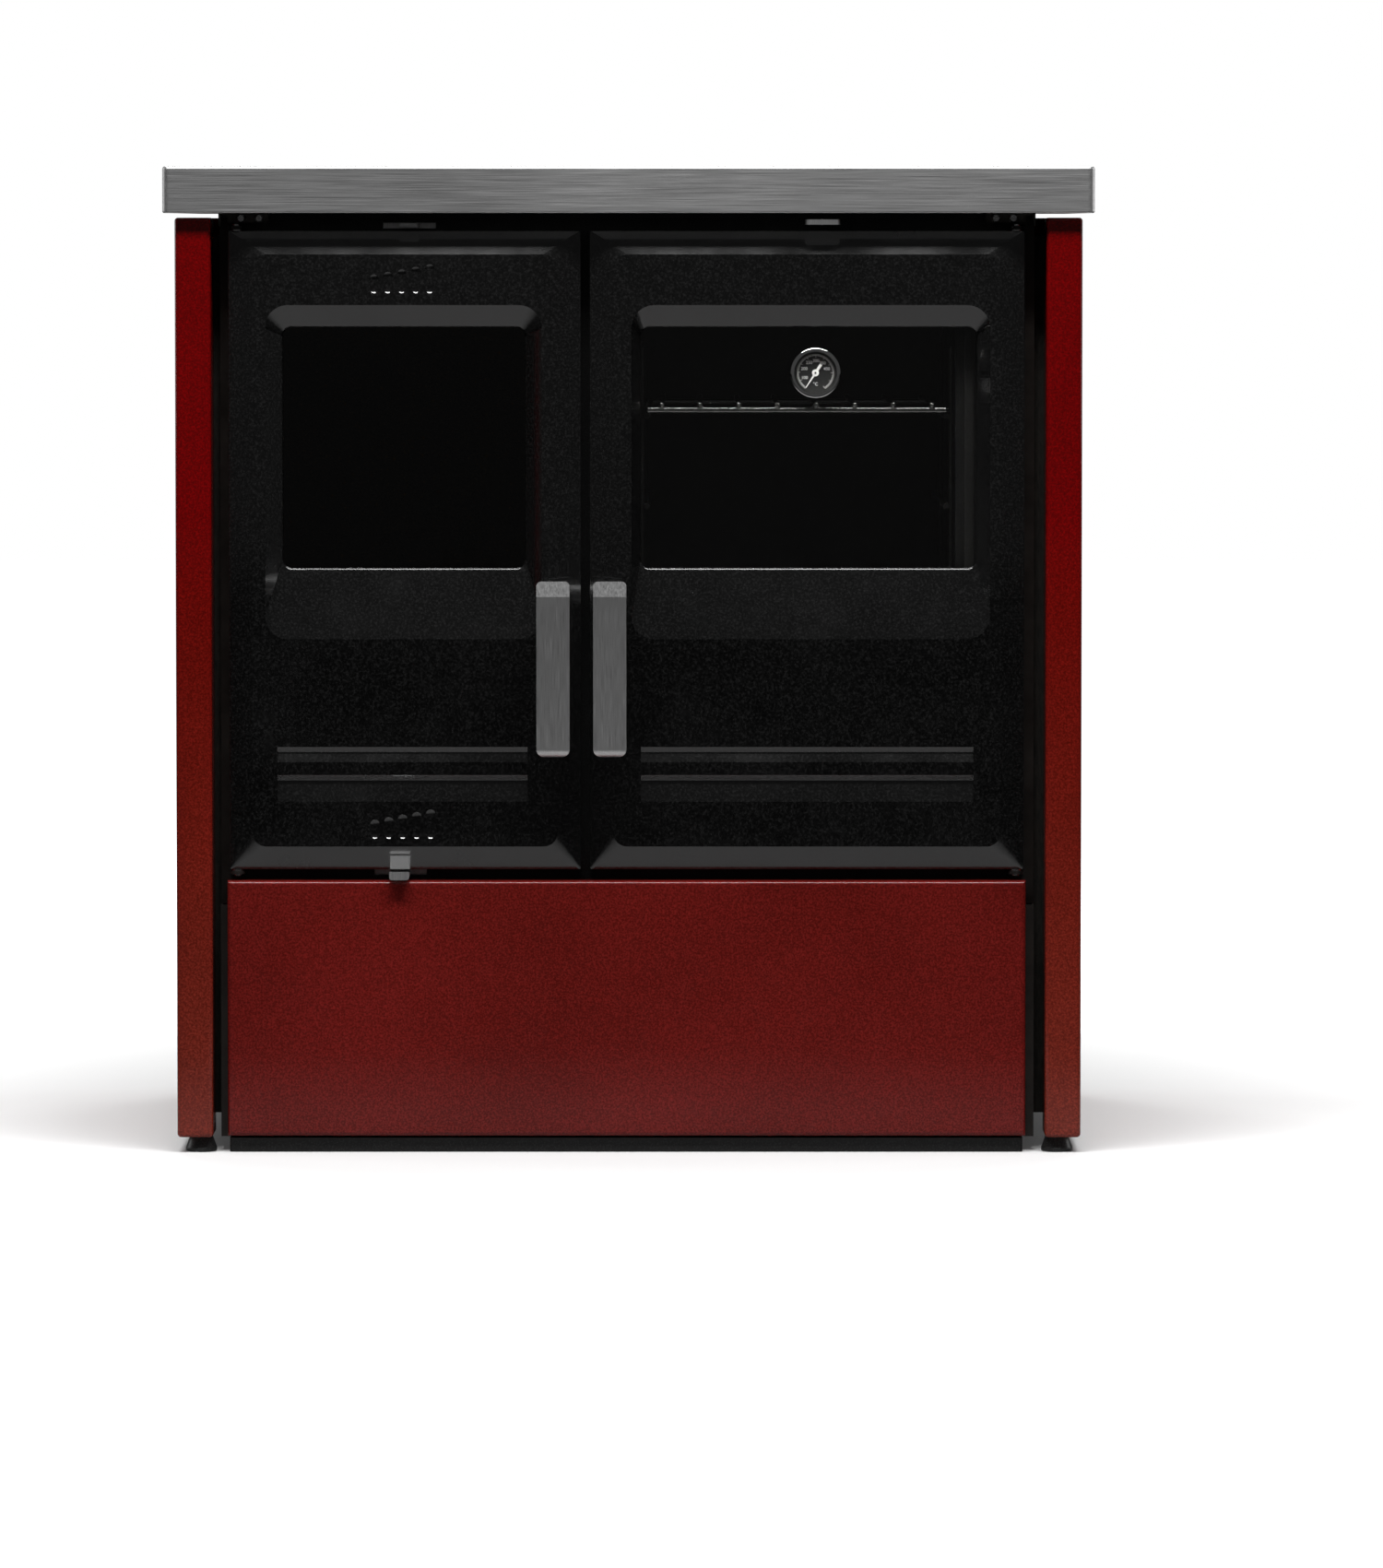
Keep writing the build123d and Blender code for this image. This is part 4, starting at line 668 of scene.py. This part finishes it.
def grow(tree, name, body, settings, base):
    """Runs a tree on a base mesh and returns the result as a plain piece on a body."""
    holder = bpy.data.objects.new(name + "_holder", base)
    bpy.context.scene.collection.objects.link(holder)
    modifier = holder.modifiers.new(tree.name, "NODES")
    modifier.node_group = tree
    by_label = {item.name: item.identifier for item in tree.interface.items_tree
                if item.in_out == "INPUT"}
    for label, value in settings.items():
        modifier[by_label[label]] = value
    bpy.context.view_layer.update()
    graph = bpy.context.evaluated_depsgraph_get()
    data = bpy.data.meshes.new_from_object(holder.evaluated_get(graph))
    bpy.data.objects.remove(holder)
    return put_on_body(name, data, body)


# %% [markdown]
# ## Rope seals
# Each door closes on a flat knitted rope of glass fibre, glued in a loop to its liner. Seen
# close up the rope is rows of slanted stitches, each row leaning the other way. The tree lays
# out the loop as a curve, carries a flat strip along it, and stands four rows of small
# stitches on the strip, on the side that meets the cooker's frame.

# %% Rope tree
rope, given, result = new_tree(
    "knitted_rope", ("Width", "Float", 0.25), ("Height", "Float", 0.5), ("Corner", "Float", 0.01),
    ("Rope width", "Float", 0.008), ("Rope thickness", "Float", 0.003), ("Pitch", "Float", 0.003),
    ("Centre", "Vector", None), ("Fibre", "Material", None))
socket = given.outputs
knit_width, knit_thickness = socket["Rope width"], socket["Rope thickness"]
loop = add(rope, "GeometryNodeCurvePrimitiveQuadrilateral",
           {"Width": socket["Width"], "Height": socket["Height"]})
loop = add(rope, "GeometryNodeFilletCurve",
           {"Curve": loop.outputs[0], "Radius": socket["Corner"], "Count": 6}, mode="POLY")
loop = add(rope, "GeometryNodeSetCurveNormal", {"Curve": loop.outputs[0]}, mode="Z_UP")
strip_share = 0.62                    # the flat strip's share of the rope's thickness
strip_section = add(rope, "GeometryNodeCurvePrimitiveQuadrilateral",
                    {"Width": knit_width,
                     "Height": times(rope, knit_thickness, strip_share)})
strip_section = add(rope, "GeometryNodeFilletCurve",
                    {"Curve": strip_section.outputs[0], "Radius": 0.0007, "Count": 3},
                    mode="POLY")
strip = add(rope, "GeometryNodeCurveToMesh",
            {"Curve": loop.outputs[0], "Profile Curve": strip_section.outputs[0]})
points = add(rope, "GeometryNodeCurveToPoints",
             {"Curve": loop.outputs[0], "Length": socket["Pitch"]}, mode="LENGTH")
along = add(rope, "FunctionNodeAlignRotationToVector",
            {"Vector": points.outputs["Tangent"]}, axis="X")
across = add(rope, "ShaderNodeVectorMath",
             {0: points.outputs["Tangent"], 1: (0, 0, 1)}, operation="CROSS_PRODUCT")
print("rope strip laid along a loop")

# %% Stitches on the rope
stitch = add(rope, "GeometryNodeMeshUVSphere", {"Segments": 6, "Rings": 5, "Radius": 0.5})
stitch_size = vector(rope, X=times(rope, socket["Pitch"], 1.25),
                     Y=times(rope, knit_width, 0.23),
                     Z=times(rope, knit_thickness, 0.48))
drop = vector(rope, Z=times(rope, knit_thickness, -0.25))
row_count, row_pitch, lean_angle = 4, 0.235, 34
rope_parts = [strip.outputs[0]]
for row in range(row_count):
    lean = radians(lean_angle if row % 2 else -lean_angle)
    turned = add(rope, "FunctionNodeRotateRotation",
                 {"Rotation": along.outputs[0], "Rotate By": Euler((0, 0, lean))},
                 rotation_space="LOCAL")
    shift = times(rope, knit_width, (row - (row_count - 1) / 2) * row_pitch)
    aside = add(rope, "ShaderNodeVectorMath", {0: across.outputs[0], "Scale": shift},
                operation="SCALE")
    offset = add(rope, "ShaderNodeVectorMath", {0: aside.outputs[0], 1: drop}, operation="ADD")
    seats = add(rope, "GeometryNodeSetPosition",
                {"Geometry": points.outputs[0], "Offset": offset.outputs[0]})
    stitches = add(rope, "GeometryNodeInstanceOnPoints",
                   {"Points": seats.outputs[0], "Instance": stitch.outputs[0],
                    "Rotation": turned.outputs[0], "Scale": stitch_size})
    rope_parts.append(stitches.outputs[0])
whole = add(rope, "GeometryNodeJoinGeometry")
for rope_part in rope_parts:
    rope.links.new(rope_part, whole.inputs[0])
stood_up = add(rope, "GeometryNodeTransform",
               {"Geometry": whole.outputs[0], "Translation": socket["Centre"],
                "Rotation": (radians(90), 0, 0)})
finish_tree(rope, stood_up.outputs[0], socket["Fibre"], result)

# %% Rope seals
rope_width = 0.008
for door in ("fire", "oven"):
    low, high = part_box(door + "_door_seal")
    centre, size = (low + high) / 2, high - low
    seal = grow(rope, door + "_rope_seal", door + "_door", {
        "Width": size.x - rope_width, "Height": size.z - rope_width, "Corner": 0.010,
        "Rope width": rope_width, "Rope thickness": size.y, "Pitch": 0.0032,
        "Centre": list(centre), "Fibre": finishes["rope_seal"]},
        points_mesh(door + "_rope_seal", []))
    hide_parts(door + "_door_seal")

# %% [markdown]
# ## Screws
# The back panel and the doors' liners are screwed on. A screw head is a low dome with a
# cross-shaped recess. One tree makes the head once and stands a copy on each point it is
# given, facing the way it is told. The points come from the box of the part that the screws
# hold, a step inside its edges.

# %% Screw tree
screws, given, result = new_tree(
    "screw_heads", ("Radius", "Float", 0.004), ("Height", "Float", 0.0024),
    ("Facing", "Vector", None), ("Steel", "Material", None))
socket = given.outputs
rim_height = times(screws, socket["Height"], 0.35)
crown_height = times(screws, socket["Height"], 0.65)
crown_radius = times(screws, socket["Radius"], 0.62)
head_sides = 24
rim_disc = add(screws, "GeometryNodeMeshCone",
               {"Vertices": head_sides, "Radius Top": socket["Radius"],
                "Radius Bottom": socket["Radius"], "Depth": rim_height})
crown = add(screws, "GeometryNodeMeshCone",
            {"Vertices": head_sides, "Radius Top": crown_radius,
             "Radius Bottom": socket["Radius"], "Depth": crown_height})
crown = add(screws, "GeometryNodeTransform",
            {"Geometry": crown.outputs[0], "Translation": vector(screws, Z=rim_height)})
print("screw head from a low disc and a crown")

# %% The cross in the screw's head, and a copy on each point
bar_size = vector(screws, X=times(screws, socket["Radius"], 1.05),
                  Y=times(screws, socket["Radius"], 0.24), Z=socket["Height"])
crossed = add(screws, "GeometryNodeMeshBoolean", {"Mesh 1": crown.outputs[0]},
              operation="DIFFERENCE")
for degrees in (0, 90):
    bar = add(screws, "GeometryNodeMeshCube", {"Size": bar_size})
    bar = add(screws, "GeometryNodeTransform",
              {"Geometry": bar.outputs[0], "Translation": vector(screws, Z=socket["Height"]),
               "Rotation": (0, 0, radians(degrees))})
    screws.links.new(bar.outputs[0], crossed.inputs["Mesh 2"])
head = add(screws, "GeometryNodeJoinGeometry")
for head_part in (crossed, rim_disc):
    screws.links.new(head_part.outputs[0], head.inputs[0])
aim = add(screws, "FunctionNodeAlignRotationToVector", {"Vector": socket["Facing"]}, axis="Z")
copies = add(screws, "GeometryNodeInstanceOnPoints",
             {"Points": socket["Geometry"], "Instance": head.outputs[0],
              "Rotation": aim.outputs[0]})
finish_tree(screws, copies.outputs[0], socket["Steel"], result)

# %% Screws on the back and the liners
screw_inset = 0.009                   # from the part's edge to a screw's middle


def around(low, high, count_x, count_z):
    """Points round the edge of a part's rear face, by how many stand along each side."""
    x0, x1 = low.x + screw_inset, high.x - screw_inset
    z0, z1 = low.z + screw_inset, high.z - screw_inset
    across = [x0 + (x1 - x0) * i / (count_x - 1) for i in range(count_x)]
    upward = [z0 + (z1 - z0) * i / (count_z - 1) for i in range(1, count_z - 1)]
    return ([(x, high.y, z) for z in (z0, z1) for x in across]
            + [(x, high.y, z) for x in (x0, x1) for z in upward])


def screw_row(name, body, points, radius, height):
    """Screws on points, with their heads towards the back of the cooker."""
    settings = {"Radius": radius, "Height": height, "Facing": (0, 1, 0),
                "Steel": finishes["bright_screws"]}
    base = points_mesh(name + "_points", points)
    grow(screws, name, body, settings, base)


low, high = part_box("back_panel")
screw_row("back_screws", "root", around(low, high, 6, 7), radius=0.004, height=0.0024)
for door in ("fire", "oven"):
    low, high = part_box(door + "_door_liner")
    screw_row(door + "_liner_screws", door + "_door", around(low, high, 2, 4),
              radius=0.0032, height=0.0016)

# %% [markdown]
# ## Rounded ends on the rack's wires
# The rack's eight wires stop at its front and back bars. Their cut ends are rounded in the real
# oven, and the front ones catch the light as bright dots behind the glass. A small ball on each
# end of every wire does that, placed by the same kind of tree.

# %% Wire ends
balls, given, result = new_tree(
    "wire_ends", ("Radius", "Float", 0.0024), ("Steel", "Material", None))
socket = given.outputs
ball = add(balls, "GeometryNodeMeshUVSphere",
           {"Segments": 16, "Rings": 10, "Radius": socket["Radius"]})
smooth = add(balls, "GeometryNodeSetShadeSmooth", {"Geometry": ball.outputs[0]})
copies = add(balls, "GeometryNodeInstanceOnPoints",
             {"Points": socket["Geometry"], "Instance": smooth.outputs[0]})
finish_tree(balls, copies.outputs[0], socket["Steel"], result)

# %% Ends on the rack's wires
low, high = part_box("oven_rack")
wire_count, wire_pitch, wire_radius = 8, 0.0334, 0.002
end_inset = 0.0004                    # the balls' middles, inside the rack's front and back
middle = (low.x + high.x) / 2
ends = [(middle + (i - (wire_count - 1) / 2) * wire_pitch, y, high.z - wire_radius)
        for y in (low.y + end_inset, high.y - end_inset) for i in range(wire_count)]
# painted highlight: the balls wear wire_tip, a brighter chrome than the wire's own
grow(balls, "rack_wire_ends", "root",
     {"Radius": 0.0029, "Steel": wire_tip}, points_mesh("wire_points", ends))

# %% [markdown]
# ## Floor and light
# The cooker stands on a pale floor in soft studio light. A wide soft light hangs above and in
# front, so upward edges catch a thin bright line while the black fronts stay dark. A second one
# above and behind lights the hob and the back, and two weaker ones fill the sides. The sky and
# the far floor are white where the camera sees them, and dim for everything else, so that no
# broad pale reflection washes out the black enamel.

# %% Floor
floor_radius, floor_corners = 14.0, 96
floor_data = bpy.data.meshes.new("floor")
turns = [2 * pi * i / floor_corners for i in range(floor_corners)]
edge = [(floor_radius * cos(turn), floor_radius * sin(turn), 0) for turn in turns]
floor_data.from_pydata(edge, [], [range(floor_corners)])
floor = bpy.data.objects.new("floor", floor_data)
bpy.context.scene.collection.objects.link(floor)

# %% The floor's paint
floor_paint, shader = start_material("floor_paint", Roughness=0.9)
shader.inputs["Specular IOR Level"].default_value = 0.1
far_off = node(floor_paint, "ShaderNodeVectorMath", operation="LENGTH")
join(floor_paint, place(floor_paint), far_off.inputs[0])
ramp_reach = 4.0                      # the ramps' stops are shares of this distance in metres
reach = arithmetic(floor_paint, "DIVIDE", far_off.outputs["Value"], ramp_reach)
unseen = ramp(floor_paint, reach, (0.17, 0.4), (0.32, 0.02))
join(floor_paint, unseen, shader.inputs["Base Color"])
glow = node(floor_paint, "ShaderNodeEmission")
join(floor_paint, ramp(floor_paint, reach, (0.12, 0.04), (0.5, 1.0)), glow.inputs["Color"])
pale = node(floor_paint, "ShaderNodeBsdfDiffuse", Color=(0.9, 0.9, 0.9, 1))
seen = node(floor_paint, "ShaderNodeAddShader")
join(floor_paint, pale.outputs[0], seen.inputs[0])
join(floor_paint, glow.outputs[0], seen.inputs[1])
by_camera = node(floor_paint, "ShaderNodeLightPath").outputs["Is Camera Ray"]
choose(floor_paint, by_camera, shader.outputs[0], seen.outputs[0])
floor_data.materials.append(floor_paint)
floor.location.z = cad_low.z - 0.0002
print("floor of radius", floor_radius)

# %% Lights
def soft_light(name, place_at, target, width, height, watts):
    """A rectangular lamp that looks at a target and that the camera doesn't see."""
    lamp = bpy.data.lights.new(name, "AREA")
    lamp.shape, lamp.size, lamp.size_y, lamp.energy = "RECTANGLE", width, height, watts
    holder = bpy.data.objects.new(name, lamp)
    bpy.context.scene.collection.objects.link(holder)
    holder.location = place_at
    holder.rotation_euler = (Vector(target) - Vector(place_at)).to_track_quat("-Z", "Y").to_euler()
    holder.visible_camera = False


soft_light("over_front", (0.0, -1.5, 3.2), (0, 0, 0.3), 3.2, 0.45, watts=128)
soft_light("over_back", (0.0, 2.2, 3.4), (0, 0, 0.5), 3.0, 1.0, watts=60)
soft_light("left_fill", (-3.8, 1.0, 1.5), (0, 0, 0.5), 1.0, 2.0, watts=22)
soft_light("right_fill", (3.8, 1.0, 1.5), (0, 0, 0.5), 1.0, 2.0, watts=22)
print("four soft lights ready")

# %% Sky
world = bpy.data.worlds.new("studio")
bpy.context.scene.world = world
world.use_nodes = True
sky = world.node_tree
background = sky.nodes["Background"]
background.inputs["Color"].default_value = (0.05, 0.05, 0.05, 1)
white = sky.nodes.new("ShaderNodeBackground")
white.inputs["Color"].default_value = (1, 1, 1, 1)
path = sky.nodes.new("ShaderNodeLightPath")
chooser = sky.nodes.new("ShaderNodeMixShader")
sky.links.new(path.outputs["Is Camera Ray"], chooser.inputs[0])
sky.links.new(background.outputs[0], chooser.inputs[1])
sky.links.new(white.outputs[0], chooser.inputs[2])
sky.links.new(chooser.outputs[0], sky.nodes["World Output"].inputs["Surface"])
print("sky ready")
